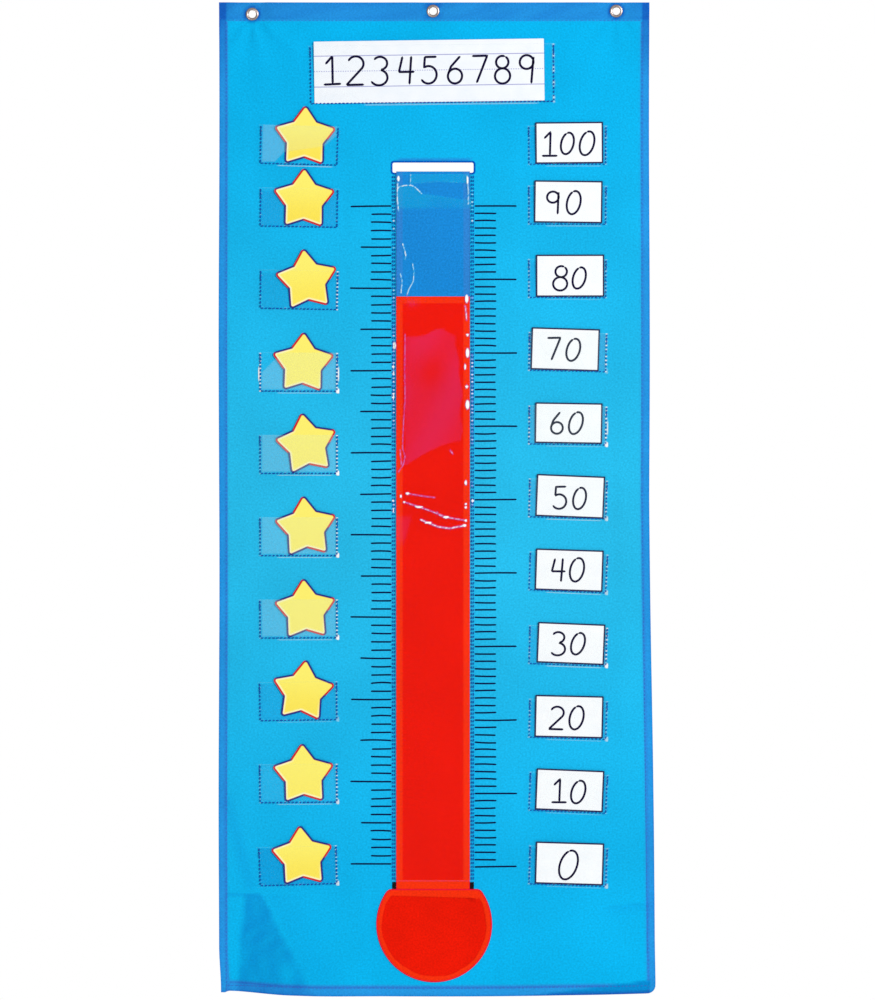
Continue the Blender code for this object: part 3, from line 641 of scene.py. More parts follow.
# Painted shade: how much darker the cloth looks behind a pocket that mirrors no window.
dim_pockets = {"star_pocket_02": 0.25, "star_pocket_03": 0.17, "star_pocket_08": 0.2, "star_pocket_10": 0.28}
dim_pockets.update({node: 0.2 for node in frame["nodes"] if node.startswith("number_pocket")})
dim_boxes = {node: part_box(node) for node in dim_pockets}
DIM_INSET = 3.0 * MM
DIM_EDGE = 2.0 * MM
for low, high in dim_boxes.values():
    down_fixed += [panel_top - high[2] + DIM_INSET, panel_top - high[2] + DIM_INSET + DIM_EDGE]
    down_fixed += [panel_top - low[2] - DIM_INSET, panel_top - low[2] - DIM_INSET - DIM_EDGE]
across = stations(panel_top_width, across_fixed, [
    (0, 156 * MM), (middle_u - 112 * MM, middle_u - 50 * MM), (middle_u + 50 * MM, panel_top_width)])
down = stations(panel_height, down_fixed, [(0, 60 * MM), (190 * MM, 202 * MM), (280 * MM, 302 * MM),
                                           (585 * MM, 635 * MM), (1105 * MM, panel_height)])[::-1]
U, D = np.meshgrid(across, down)

# %% The panel's corners in space
FOOT_SAG = 4.5 * MM
CORNER_RADIUS = 10 * MM
CORNER_RAISE = 3.2 * MM
CORNER_TAB = 2.0 * MM
CORNER_DRAW = 2.2 * MM

widen = ease((U - panel_top_width / 2) / (panel_top_width / 2 - SIDE_HEM))
X = panel_left + U + (panel_width(D) - panel_top_width) * widen
X = X + 0.5 * MM * np.sin(D * 11) * (1 - 2 * U / panel_top_width)
foot = ease((D - panel_height + 125 * MM) / (125 * MM))
middle_share = 1 - (2 * U / panel_top_width - 1) ** 2
Z = panel_top - D - FOOT_SAG * foot * middle_share

last = ease(1 - (panel_height - D) / (60 * MM))
X = X + CORNER_DRAW * last * ease(1 - U / (80 * MM))
Z = Z + CORNER_RAISE * last * ease(1 - (U - 10 * MM) / (80 * MM))
Z = Z - CORNER_TAB * ease(1 - (U - 6 * MM) / (3 * MM)) * ease(1 - (panel_height - D) / (8 * MM))

beside = np.clip(1 - (panel_top_width - U) / CORNER_RADIUS, 0, 1)
below = np.clip(1 - (panel_height - D) / CORNER_RADIUS, 0, 1)
reach = np.hypot(beside, below)
pull = np.where(reach > 0, np.maximum(beside, below) / np.where(reach > 0, reach, 1), 1) - 1
X = X + beside * pull * CORNER_RADIUS
Z = Z - below * pull * CORNER_RADIUS

side_gap = np.minimum(U, panel_top_width - U)
from_foot = panel_height - D
hem = np.maximum.reduce([ease((width + step / 2 - inwards) / step) for width, inwards in (
    (SIDE_HEM, side_gap), (TOP_HEM, D), (FOOT_HEM, from_foot))])
forward = relief(X, Z)
front = np.stack([X, panel_front - forward, Z], axis=-1)
back = np.stack([X, panel_front - forward + CLOTH + HEM_EXTRA * hem, Z], axis=-1)

# %% [markdown]
# The mark "shade" is painted shade, which draws the cloth towards a deeper blue. It is high between the
# fold's valley and ridge, on the curled corner at the lower right, along the packing creases and the outer
# edges, down the side hems near the top, in the pleats and in a ring round each grommet, and in the band
# above the top slit. The top hem is darker for its extra layers and carries painted shade in streaks.
# Behind some pockets it is raised on the front face alone. The mark "pale" is painted light, highest at
# half height, where the light falls straight on.

# %% Openings, marks and the panel itself
cell_u = (U[:-1, :-1] + U[1:, 1:]) / 2 + panel_left
cell_d = (D[:-1, :-1] + D[1:, 1:]) / 2
keep = np.ones(cell_u.shape, bool)
for half, upper, lower in SLITS.values():
    keep &= ~((np.abs(cell_u) < half) & (cell_d > upper) & (cell_d < lower))
for g in GROMMETS.values():
    keep &= ~((np.abs(cell_u - g[0]) < HOLE_HALF) & (np.abs(panel_top - cell_d - g[2]) < HOLE_HALF))


def bump(value, middle, width):
    """A bell curve: 1 at the middle, falling to a third one width away."""
    return np.exp(-((value - middle) / width) ** 2)


fold_down, valley, ridge = fold_lines(D)
from_right = panel_top_width - U
folded = ease((D - FOLD_START) / (3 * MM))
ragged = 1.3 * MM * np.sin(D * 95 + 1) + 0.6 * MM * np.sin(D * 330 + U * 60)
creased = 0.5 + 0.5 * np.sin((U + 0.5 * D) * 230 + 2 * np.sin(D * 70)) * np.sin(D * 95 - U * 50)
# Painted shade: between the fold's valley and ridge, a little to the right of the ridge, along the crease
# where the fold starts and along a slanting crease above it, lighter in one patch.
shade = (0.3 + 0.17 * creased) * folded * ease((U - valley - ragged) / (10 * MM) + 0.5) * ease(
    (ridge + ragged - U) / ((5 + 17 * fold_down) * MM) + 0.5)
shade += 0.1 * folded * bump(U, 46 * MM, 12 * MM) * bump(D, 1150 * MM, 26 * MM)
shade *= 1 - 0.7 * bump(U, 86 * MM, 13 * MM) * bump(D, 1210 * MM, 15 * MM)
shade += 0.08 * folded * ease((U - ridge - 3 * MM) / (6 * MM)) * ease((ridge + 70 * MM - U) / (50 * MM))
shade += 0.3 * bump(D, FOLD_START + 1.5 * MM, 2 * MM) * ease((U - 8 * MM) / (4 * MM)) * ease(
    (54 * MM - U) / (6 * MM))
shade += 0.17 * trace(U / MM, D / MM, ((11, 1000), (39, 1103)), 9) * ease((FOLD_START - D) / (6 * MM))
# Painted shade on the curled lower right corner, darkest at its lowest edge, and below a crease on the right.
wedge_top = 17 * MM - 0.115 * np.clip(from_right - 10 * MM, 0, None)
wedge = ease((wedge_top - from_foot) / (2 * MM) + 0.5) * ease((170 * MM - from_right) / (60 * MM))
wedge = wedge * (from_right > 7 * MM)
wedge_edge = wedge * ease(1 - from_foot / (5 * MM))
shade = np.maximum(shade, 0.62 * wedge + 0.3 * wedge_edge)
past_crease = D - (1123 * MM + 0.1 * from_right)
shade += 0.26 * ease(past_crease / (2 * MM)) * np.exp(-np.clip(past_crease, 0, None) / (8 * MM)) * ease(
    (75 * MM - from_right) / (40 * MM))
# Painted shade in streaks in the top hem, along its fold and its top edge and towards its corners; the top
# hem is also darker for its extra layers.
streaks = 0.5 + 0.5 * np.sin(U * 61 + 3 * np.sin(U * 17) + D * 190) * np.sin(U * 23 + D * 120)
top_shade = (D < TOP_HEM) * (
    0.2 + 0.2 * streaks + 0.25 * bump(D, TOP_HEM, 2.5 * MM) + 0.15 * bump(D, 0, 2 * MM))
shade = shade + top_shade * (1 + 0.6 * ease(1 - side_gap / (40 * MM)))
# Painted shade along the outer edges, and in streaks and towards the top of the side hems.
shade += 0.5 * np.exp(-from_foot / (1.5 * MM)) + 0.35 * np.exp(-side_gap / (1.2 * MM))
shade += (side_gap < SIDE_HEM) * (0.14 * streaks + 0.6 * ease(1 - D / (120 * MM)))
# Painted shade in a ring round each grommet and in the pleats that radiate from it.
for place, g in GROMMETS.items():
    run, fall_off = X - g[0], Z - g[2]
    away = np.hypot(run, fall_off)
    shade += 0.75 * bump(away, 9 * MM, 1.8 * MM)
    rays = np.cos(9 * np.arctan2(fall_off, run) + 1)
    pleats = PLEAT_SHADE * PLEATS[place] * np.clip(rays, 0, 1) ** 2 * np.exp(-away / PLEAT_REACH)
    shade += pleats * (away > 9 * MM) * (D > TOP_HEM)

# Painted shade behind the pockets in dim_pockets, on the front face only.
shade_behind_vinyl = np.zeros(shade.shape)
for node, (low, high) in dim_boxes.items():
    inside = np.minimum(np.minimum(X - low[0], high[0] - X), np.minimum(Z - low[2], high[2] - Z))
    shade_behind_vinyl += dim_pockets[node] * ease((inside - DIM_INSET) / DIM_EDGE)

fold_line = np.maximum(np.exp(-((side_gap - SIDE_HEM + 1.2 * MM) / (1.3 * MM)) ** 2) * (D > TOP_HEM),
                       0.8 * np.exp(-((from_foot - FOOT_HEM) / (1.3 * MM)) ** 2) * (side_gap > SIDE_HEM))
# Above the top slit a facing doubles the cloth, and it carries painted shade as well.
facing = (np.abs(U + panel_left) < 46 * MM) & (D > 193.5 * MM) & (D < 197.6 * MM)
shade = shade + 0.3 * facing
# The curled corner's lowest edge takes the dark line tone as painted shade.
marks = {"hem": np.clip(hem * (1 - wedge) + 0.9 * facing, 0, 1),
         "line": np.clip(fold_line * (1 - wedge) + 0.7 * wedge_edge, 0, 1),
         "shade": np.clip([shade + shade_behind_vinyl, shade], 0, 1), "pale": bump(D, PALE_DROP, PALE_REACH)}
panel = shell("panel_cloth", front, back, blue_nylon, np.stack([U, -D], axis=-1), marks, keep)
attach(panel, "chart")
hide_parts("backing_panel")
print("panel", len(panel.data.polygons), "faces")


def on_cloth(points, height=0.0):
    """Flat points (x, z) laid on the cloth's front face, this far in front of it."""
    x, z = points[..., 0], points[..., 1]
    return np.stack([x, panel_front - relief(x, z) - height, z], axis=-1)


# %% [markdown]
# ## Bound slits
#
# A slit in cloth frays, so its edge is bound. The binding is a narrow darker strip that rolls over the
# edge: a loop with a half-round section, carried round a rounded rectangle. At the foot slit the two ends
# are bar-tacked, which is a dense zigzag of black thread that keeps the slit from tearing wider.

# %% Bindings and bar tacks
BINDING_WIDTHS = {"top": 2.3 * MM, "foot": 1.0 * MM}
BINDING_INTRUDES = 0.35 * MM
SLIT_CORNER = 2.2 * MM


def rounded(half_width, half_height, corner, steps=8):
    """A rounded rectangle about the origin, anticlockwise from its right side."""
    angle = np.linspace(0, np.pi / 2, steps + 1)
    quarter = np.column_stack([np.cos(angle), np.sin(angle)]) * corner
    turns = [(1, 1), (-1, 1), (-1, -1), (1, -1)]
    parts = []
    for k, (sx, sz) in enumerate(turns):
        c, s = math.cos(k * math.pi / 2), math.sin(k * math.pi / 2)
        turned_quarter = quarter @ np.array([[c, s], [-s, c]])
        parts.append(turned_quarter + [sx * (half_width - corner), sz * (half_height - corner)])
    return np.concatenate(parts)


def binding(name, half, upper, lower, width, material):
    """A strip rolled over a slit's edge: ten points of an ellipse, carried round the slit."""
    centre = panel_top - (upper + lower) / 2
    tall = (lower - upper) / 2
    inner = rounded(half - BINDING_INTRUDES, tall - BINDING_INTRUDES, SLIT_CORNER)
    outer = rounded(half + width, tall + width, SLIT_CORNER + width)
    roll = np.linspace(0, 2 * np.pi, 10, endpoint=False)
    share = (1 - np.cos(roll)) / 2
    depth = CLOTH / 2 + (CLOTH / 2 + 0.28 * MM) * np.sin(roll)
    flat = inner[:, None] * (1 - share[:, None]) + outer[:, None] * share[:, None]
    y = panel_front + depth + np.zeros(flat.shape[:2])
    points = np.stack([flat[..., 0], y, centre + flat[..., 1]], -1)
    rows, columns = points.shape[:2]
    index = np.arange(rows * columns).reshape(rows, columns)
    nxt = np.roll(index, -1, axis=0)
    quads = np.stack([index, np.roll(index, -1, axis=1), np.roll(nxt, -1, axis=1), nxt], -1).reshape(-1, 4)
    marks = {"hem": np.zeros(rows * columns), "line": np.zeros(rows * columns)}
    flat_place = np.stack([flat[..., 0], flat[..., 1]], -1).reshape(-1, 2)
    piece = make_object(name, points.reshape(-1, 3), [quads], material, flat_place, marks)
    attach(piece, "chart")
    return piece


for slit_name, (half, upper, lower) in SLITS.items():
    binding(slit_name + "_slit_binding", half, upper, lower, BINDING_WIDTHS[slit_name],
            binding_nylon if slit_name == "top" else blue_nylon)

tape_half = np.ptp(corners("level_seam")[:, 0]) / 2
half, upper, lower = SLITS["foot"]
tack_x = np.linspace(tape_half + 0.45 * MM, half - 0.35 * MM, 8)
tack_top, tack_foot = panel_top - upper + 0.4 * MM, panel_top - lower - 0.4 * MM
tacks = [[(sign * x, panel_front, tack_foot), (sign * x, panel_front, tack_top)]
         for sign in (-1, 1) for x in tack_x]
bar_tacks = stitches("bar_tacks", tacks, 2.3 * MM, 3.2 * MM, 0.95 * MM, black_thread)
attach(bar_tacks, "chart")
print("bar tacks", len(bar_tacks.data.polygons), "faces")

# %% [markdown]
# ## The printed scales
#
# Two scales run beside the tape, drawn with a fat pen, so no two marks are quite alike. The left one has
# eight steps and the right one nine, each in ten parts, with long marks level with the pockets. Every
# mark is one ribbon laid on the cloth, so it follows the folds.

# %% Scale marks
sleeve_low, sleeve_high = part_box("tape_sleeve")
INK_WIDTH = 2.0 * MM
LEFT_MARKS = {0: 51.5 * MM, 5: 39.2 * MM}
RIGHT_MARKS = {0: 52.9 * MM}
SHORT_MARKS = (25.9 * MM, 27.2 * MM)
POCKET_BELOW_MARK = 3.2 * MM


def middle_height(node):
    """The height of the middle of a solid."""
    return float(np.mean(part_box(node), axis=0)[2])


def scale_marks(side, start, first, last, steps, long_marks, short):
    """Marks from the first height to the last, ten to a step, starting at the sleeve and running outwards."""
    paths = []
    count = steps * 10
    for k, height in enumerate(np.linspace(first, last, count + 1)):
        reach = long_marks.get(k % 10, short) + rng.normal(0, 0.35 * MM)
        t = np.linspace(0, 1, 7)
        bow = rng.normal(0, 0.25 * MM) * np.sin(np.pi * t) + rng.normal(0, 0.35 * MM) * t
        paths.append(np.column_stack([start + side * reach * t, height + bow]))
    return paths


first_mark = middle_height("number_pocket_090")
marks_left = scale_marks(-1, sleeve_low[0] - 0.4 * MM, first_mark,
                         middle_height("star_pocket_10") + POCKET_BELOW_MARK, 8, LEFT_MARKS, SHORT_MARKS[0])
marks_right = scale_marks(1, sleeve_high[0] + 0.4 * MM, first_mark, middle_height("number_pocket_000"), 9,
                          RIGHT_MARKS, SHORT_MARKS[1])
scales = ribbons("scale_marks", marks_left + marks_right, INK_WIDTH, 0.12 * MM, on_cloth, scale_ink)
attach(scales, "chart")
print("scale marks", len(marks_left), len(marks_right))

# %% [markdown]
# ## Grommets and washers
#
# An eyelet is pressed from sheet brass: a domed flange in front, and a barrel whose end is rolled over a
# washer at the back. Both are turned shapes, so a profile is enough. The solids in the frame have flat
# facets, and these take their places with a smooth round section.

# %% Grommets and washers
BORE = 4.8 * MM
BARREL = 5.2 * MM
FLANGE = 8.1 * MM
DOME = 1.2 * MM
LIP = 6.1 * MM
WASHER_RADIUS = 8.3 * MM

for place, centre in GROMMETS.items():
    at = (centre[0], 0.0, centre[2])
    hem_front = -panel_front
    turn = np.linspace(0, np.pi, 17)
    dome = np.column_stack([(BORE + FLANGE) / 2 + (FLANGE - BORE) / 2 * np.cos(turn),
                            hem_front + 0.3 * MM + DOME * np.sin(turn)])
    tail = [(BORE, 0.12 * MM), (LIP - 0.3 * MM, 0.1 * MM), (LIP, 0.25 * MM), (LIP, 0.5 * MM),
            (BARREL, 0.5 * MM), (BARREL, hem_front + 0.3 * MM)]
    eyelet = turned("eyelet_" + place, np.concatenate([dome, tail])[::-1], at, nickel)
    ring = [(LIP + 0.3 * MM, 0.0), (LIP + 0.3 * MM, 0.8 * MM), (BARREL + 0.3 * MM, 0.8 * MM),
            (BARREL + 0.3 * MM, 1.2 * MM), (WASHER_RADIUS - 0.3 * MM, 1.2 * MM), (WASHER_RADIUS, 0.9 * MM),
            (WASHER_RADIUS, 0.3 * MM), (WASHER_RADIUS - 0.3 * MM, 0.0)]
    washer = turned("back_washer_" + place, ring, at, nickel)
    for piece, node in ((eyelet, "grommet_" + place), (washer, "washer_" + place)):
        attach(piece, "chart")
        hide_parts(node)
print("grommets", list(GROMMETS))

# %% [markdown]
# ## The bulb
#
# A round patch of red cloth with a flat top, its edge turned under and sewn down. Its top hem covers the
# lower lip of the foot slit, so the tape seems to run straight into it. Where it is turned
# under, two layers lie on each other, and the rim is brighter and stands a little higher. The outline is
# one long arc, two corner arcs and a straight top, all found from the size of the solid.

# %% Bulb patch
bulb_low, bulb_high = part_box("bulb_patch")
BULB_CORNER = 9 * MM
BULB_OVERLAP = 2.8 * MM  # how far its top hem covers the slit's lower lip
bulb_radius = (bulb_high[0] - bulb_low[0]) / 2
bulb_centre = np.array([(bulb_low[0] + bulb_high[0]) / 2, bulb_low[2] + bulb_radius])
bulb_rise = bulb_high[2] - bulb_centre[1] + BULB_OVERLAP


def arc(centre, radius, start, end, steps):
    """Points on an arc between two angles in radians."""
    angle = np.linspace(start, end, steps)
    return np.column_stack([centre[0] + radius * np.cos(angle), centre[1] + radius * np.sin(angle)])


corner_up = bulb_rise - BULB_CORNER
corner_out = math.sqrt((bulb_radius - BULB_CORNER) ** 2 - corner_up ** 2)
touch = math.atan2(corner_up, corner_out)
bulb_outline = np.concatenate([
    arc((0, 0), bulb_radius, math.pi - touch, 2 * math.pi + touch, 120),
    arc((corner_out, corner_up), BULB_CORNER, touch, math.pi / 2, 12)[1:],
    np.column_stack([np.linspace(corner_out, -corner_out, 24), np.full(24, bulb_rise)])[1:-1],
    arc((-corner_out, corner_up), BULB_CORNER, math.pi / 2, math.pi - touch, 12)[:-1],
])


def bulb_hem(flat):
    """How wide the hem is in mm, as the mark "edge" is: it wavers, and at the top it is wider and askew."""
    angle = np.arctan2(flat[:, 1], flat[:, 0])
    wavering = 7.0 + 0.5 * np.sin(3 * angle + 1) + 0.35 * np.sin(11 * angle) + 0.2 * np.sin(29 * angle)
    at_top = ease((flat[:, 1] - bulb_rise + 15 * MM) / (2 * MM)) * ease(
        (corner_out + 4 * MM - np.abs(flat[:, 0])) / (5 * MM))
    return wavering + at_top * (9.8 + 1.5 * flat[:, 0] / corner_out - wavering)


BULB_PINCH = np.array([[42, 33], [50, 29.5], [44, 30]]) * MM  # a pleat near the upper right corner


def bulb_place(flat, height, edge):
    """On the cloth: 0.5 mm of cloth, twice that in the hem, with a slight fullness in the middle."""
    hem_share = ease(bulb_hem(flat) + 0.5 - edge)
    seam_dip = 0.25 * MM * np.exp(-((edge - 2.2) / 0.7) ** 2)
    ripple = 0.15 * MM * np.sin(flat[:, 0] * 70 + 1) * np.sin(flat[:, 1] * 55) * ease((edge - 4) / 10)
    pinch = edge_distance(flat, BULB_PINCH)
    ripple = ripple + 0.35 * MM * np.exp(-(pinch / (2.0 * MM)) ** 2) * (edge > bulb_hem(flat))
    if height < 0:
        y = np.full(len(flat), bulb_high[1])
    else:
        y = bulb_high[1] - 0.55 * MM - 0.45 * MM * hem_share + seam_dip * hem_share + ripple
        y = np.where(edge < 0.4, y + 0.35 * MM * (1 - edge / 0.4), y)
    return np.column_stack([flat[:, 0] + bulb_centre[0], y, flat[:, 1] + bulb_centre[1]])


def bulb_shade(flat):
    """Painted shade: darker in the pleat, along the fold of the top hem, and in soft patches."""
    edge = edge_distance(flat, bulb_outline) / MM
    patches = 0.5 + 0.5 * np.sin(flat[:, 0] * 130 + 2 * np.sin(flat[:, 1] * 90)) * np.sin(flat[:, 1] * 110)
    pleat = 0.3 * np.exp(-(edge_distance(flat, BULB_PINCH) / (1.6 * MM)) ** 2)
    inwards = edge - bulb_hem(flat)
    fold_line = 0.12 * np.exp(-((inwards - 0.6) / 0.8) ** 2)
    return np.clip((0.1 * patches + pleat) * (inwards > 0) + fold_line, 0, 1)


bulb_rings = np.concatenate([
    [1, 0.996, 0.99, 0.98], np.linspace(0.97, 0.74, 26), np.linspace(0.72, 0.035, 27)])
bulb = cut_out("bulb_cloth", bulb_outline, bulb_rings, bulb_place, 1.0 * MM, red_nylon, {
    "hem": lambda flat: 0.85 * ease((bulb_hem(flat) + 0.6 - edge_distance(flat, bulb_outline) / MM) / 1.2),
    "line": lambda flat: 1 - ease((edge_distance(flat, bulb_outline) / MM - 0.7) / 0.9),
    "shade": bulb_shade,
})
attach(bulb, "chart")
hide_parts("bulb_patch")
bulb_sewn = resample(np.concatenate([bulb_outline, bulb_outline[:1]]) * (1 - 2.2 * MM / bulb_radius), 1 * MM)
bulb_seam = np.column_stack([
    bulb_sewn[:, 0] + bulb_centre[0], np.full(len(bulb_sewn), bulb_high[1] - 0.75 * MM),
    bulb_sewn[:, 1] + bulb_centre[1]])
bulb_thread = stitches("bulb_stitches", [bulb_seam], 3.2 * MM, 2.3 * MM, 0.4 * MM, red_thread)
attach(bulb_thread, "chart")
print("bulb", round(bulb_radius / MM, 1), "mm radius")

# %% [markdown]
# ## The tape
#
# One endless band, half red and half blue. Two seams join the halves, and they travel when the level is
# set, so a run of tape between a slit and a seam grows or shrinks. A run is therefore a grid whose only
# rows lie at its two ends and round its turn. Its side hems are two layers thick.

# %% Tape runs
TAPE_HEM = 7.6 * MM
HEM_BLEND = 0.8 * MM
FOOT_DOUBLED = 9.5 * MM
tape_columns = np.unique(np.concatenate([np.linspace(-tape_half, tape_half, 41), [
    sign * (tape_half - w) for sign in (-1, 1) for w in (0.0004, 0.0010, TAPE_HEM, TAPE_HEM + HEM_BLEND)]]))
tape_hem = ease((TAPE_HEM + HEM_BLEND - (tape_half - np.abs(tape_columns))) / HEM_BLEND)
tape_edge = 1 - ease(((tape_half - np.abs(tape_columns)) / MM - 0.4) / 0.6)


def tape_run(name, node, path, normals, seam_body, start, end, material, slot, doubled=slice(0)):
    """Tape along a path of (y, z) with its outward normals: 0.5 mm of cloth, 1 mm in the side hems.

    doubled is the span of the path's rows that have a hem all across.
    """
    path, normals = np.array(path), np.array(normals)
    x = np.broadcast_to(tape_columns, (len(path), len(tape_columns)))
    hem = np.tile(tape_hem, (len(path), 1))
    hem[doubled] = 1.0
    wall = (0.5 + 0.5 * hem) * MM
    outer = np.stack([x, path[:, :1] + 0 * x, path[:, 1:] + 0 * x], -1)
    inner = outer - np.stack([0 * x, normals[:, :1] * wall, normals[:, 1:] * wall], -1)
    run = np.concatenate([[0], np.cumsum(np.linalg.norm(np.diff(path, axis=0), axis=1))])
    uv = np.stack([x, np.broadcast_to(run[:, None], x.shape)], -1)
    grid_marks = {"hem": hem, "line": np.broadcast_to(tape_edge, x.shape)}
    piece = shell(name, outer, inner, material, uv, grid_marks)
    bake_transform(piece)
    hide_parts(node)
    return piece


blue_front, red_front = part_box("tape_blue_front"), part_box("tape_red_front")
blue_back, red_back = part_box("tape_blue_back"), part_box("tape_red_back")
front_y, back_y = blue_front[0][1], blue_back[1][1]
turn_radius = (back_y - front_y) / 2
turn_y = (back_y + front_y) / 2
top_turn = blue_back[1][2] - turn_radius
foot_turn = red_back[0][2] + turn_radius
half_turn = np.linspace(0, np.pi, 17)
over_out = np.column_stack([-np.cos(half_turn), np.sin(half_turn)])
under_out = np.column_stack([np.cos(half_turn), -np.sin(half_turn)])
over = np.array([turn_y, top_turn]) + turn_radius * over_out
under = np.array([turn_y, foot_turn]) + turn_radius * under_out

tape_run("blue_tape_front", "tape_blue_front", [(front_y, blue_front[0][2]), (front_y, top_turn)],
         [(-1, 0), (-1, 0)], "level", (0, front_y, blue_front[1][2]), (0, front_y, blue_front[0][2]),
         royal_nylon, "blue_tape")
red_rows = [foot_turn, foot_turn + FOOT_DOUBLED, foot_turn + FOOT_DOUBLED + HEM_BLEND, red_front[1][2]]
tape_run("red_tape_front", "tape_red_front", [(front_y, height) for height in red_rows], [(-1, 0)] * 4,
         "level", (0, front_y, red_front[0][2]), (0, front_y, red_front[1][2]), red_nylon, "red_cloth",
         doubled=slice(2))
tape_run("blue_tape_back", "tape_blue_back", [*over, (back_y, blue_back[0][2])], [*over_out, (1, 0)],
         "back_level", (0, back_y, top_turn), (0, back_y, blue_back[0][2]), royal_nylon, "blue_tape")
tape_run("red_tape_back", "tape_red_back", [(back_y, red_back[1][2]), *under], [(1, 0), *under_out],
         "back_level", (0, back_y, foot_turn), (0, back_y, red_back[1][2]), red_nylon, "red_cloth",
         doubled=slice(-9, None))

# %% Seams of the tape
LAP_OVER = 0.5 * MM  # how far a lap runs on over the ends of the two tapes

for node, body, material, slot in (("level_seam", "level", red_nylon, "red_cloth"),
                                   ("back_seam", "back_level", royal_nylon, "blue_tape")):
    low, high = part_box(node)
    heights = np.linspace(low[2] - LAP_OVER, high[2] + LAP_OVER, 9)
    x, z = np.meshgrid(tape_columns, heights)
    swell = np.sqrt(np.clip(1 - (2 * (z - low[2]) / (high[2] - low[2]) - 1) ** 8, 0.7, 1))
    middle_y, half_y = (low[1] + high[1]) / 2, (high[1] - low[1]) / 2
    lap = shell(node + "_cloth", np.stack([x, middle_y - half_y * swell, z], -1),
                np.stack([x, middle_y + half_y * swell, z], -1), material, np.stack([x, z], -1),
                {"hem": np.full(x.shape, 0.9), "line": 0.8 * np.broadcast_to(tape_edge, x.shape)})
    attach(lap, body)
    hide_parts(node)
print("tape", round(tape_half * 2 / MM, 1), "mm wide")

# %% [markdown]
# ## Clear vinyl
#
# The pockets and the sleeve are cut from clear PVC sheet, 0.4 mm thick. It is glossy, and where it mirrors
# a bright window a painted reflection, a pale veil, lies over what is behind it. Painted highlights sit in
# specks round the needle holes and along its creases and cut edges. Three marks drive this: "veil" for the
# painted reflections, "blush" for their colour (0 white, a half sky blue, 1 violet) and "glint" for the
# painted highlights on specks, creases and edges. The sheet is thin, so light passes straight through and
# nothing needs to bend: transparency is enough, and it stays clean in few samples. Seen along its surface it
# turns milky.

# %% Vinyl
VINYL = 0.4 * MM
CLEAR_ALPHA = 0.0015
VEIL_ALPHA = 0.14
GRAZING_ALPHA = 0.35
PITCH = 4.8 * MM  # from one needle hole of a seam to the next

clear_vinyl, tree, output = new_material("clear_pvc_sheet")
veil, blush, glint = (mark_socket(tree, name) for name in ("veil", "blush", "glint"))
glare = add(tree, "ShaderNodeValToRGB", {"Fac": blush})
stops = glare.color_ramp.elements
stops[0].color, stops[1].color = linear("#DCFFF6"), linear("#9068FF")
stops.new(0.5).color = linear("#00DCFF")
# Painted highlights: where "glint" is high the sheet turns white and nearly opaque.
whiteness = add(tree, "ShaderNodeMapRange", {"Value": glint, "From Min": 0.1, "From Max": 0.55})
tone = mixed(tree, whiteness.outputs[0], glare.outputs[0], linear("#FFFFFF"))
haze = add(tree, "ShaderNodeMapRange", {"Value": veil, "To Min": CLEAR_ALPHA, "To Max": VEIL_ALPHA})
grazing = add(tree, "ShaderNodeLayerWeight", {"Blend": 0.5}).outputs["Facing"]
grazing = add(tree, "ShaderNodeMath", {0: grazing, 1: 4.0}, operation="POWER")
edge_on = add(tree, "ShaderNodeMapRange", {"Value": grazing.outputs[0], "To Min": haze.outputs[0],
                                          "To Max": GRAZING_ALPHA})
alpha = add(tree, "ShaderNodeMapRange", {"Value": glint, "To Min": edge_on.outputs[0], "To Max": 0.95})
skin = add(tree, "ShaderNodeBsdfPrincipled", {
    "Base Color": tone, "Roughness": 0.12, "IOR": 1.54, "Alpha": alpha.outputs[0]})
tree.links.new(skin.outputs[0], output.inputs["Surface"])


def specks(x, z, size, amount):
    """Irregular spots a few millimetres apart: a sum of sines at odd angles, cut off high."""
    a = np.sin(x / size * 2.1 + z / size * 1.3) + np.sin(x / size * -1.2 + z / size * 2.7 + 2)
    b = np.sin(x / size * 0.7 - z / size * 0.9 + 1) + np.sin(z / size * 0.37 + x / size * 0.51)
    return ease((a + b - (3.2 - 2.2 * amount)) / 0.7)


def needle_beads(along, length):
    """1 at each needle hole of a seam of this length and 0 beside it, where the stitches are PITCH apart."""
    return ease(np.cos(2 * np.pi * along / (length / round(length / PITCH))) * 1.7 - 0.6)


# %% [markdown]
# ## Pockets
#
# A pocket is sewn down on three sides and bows out over its card, more at its mouth than at its foot. The
# grid runs across and up. Its lift off the cloth is nothing at the stitches, and rises over a short
# shoulder to the card's thickness plus the card's lean. A little ripple is added on top, outwards only,
# so that the vinyl never touches the card.

# %% Pocket function
STITCH_INSET = 2.8 * MM
SHOULDER = 2.0 * MM
FOOT_SHOULDER = 0.8 * MM
CARD_ROOM = 0.7 * MM
CROWN = 0.3 * MM
RIPPLE = 0.32 * MM
PUCKER = 0.12 * MM
THREAD_LIFT = 0.05 * MM  # how far in front of its sheet the middle line of a thread lies
TACK_ASIDE = 0.5 * MM
TACK_LENGTH = 11 * MM
seams = {"bold": [], "fine": [], "tacks": []}


def pocket_frame(node, joint):
    """The pocket's own axes, from its card's slide, and its foot stitch line, half width and mouth."""
    axis = joint_axes[joint]
    tilt = math.atan2(-axis[0], axis[2])
    right = np.array([math.cos(tilt), 0, math.sin(tilt)])
    up = np.array([-math.sin(tilt), 0, math.cos(tilt)])
    points = corners(node)
    across, height = points @ right, points @ up
    middle = (across.max() + across.min()) / 2
    foot_line = height.min() + STITCH_INSET
    origin = right * middle + up * foot_line
    origin[1] = points[:, 1].max()
    return origin, right, up, np.ptp(across) / 2, height.max() - foot_line, math.tan(math.asin(-axis[1]))


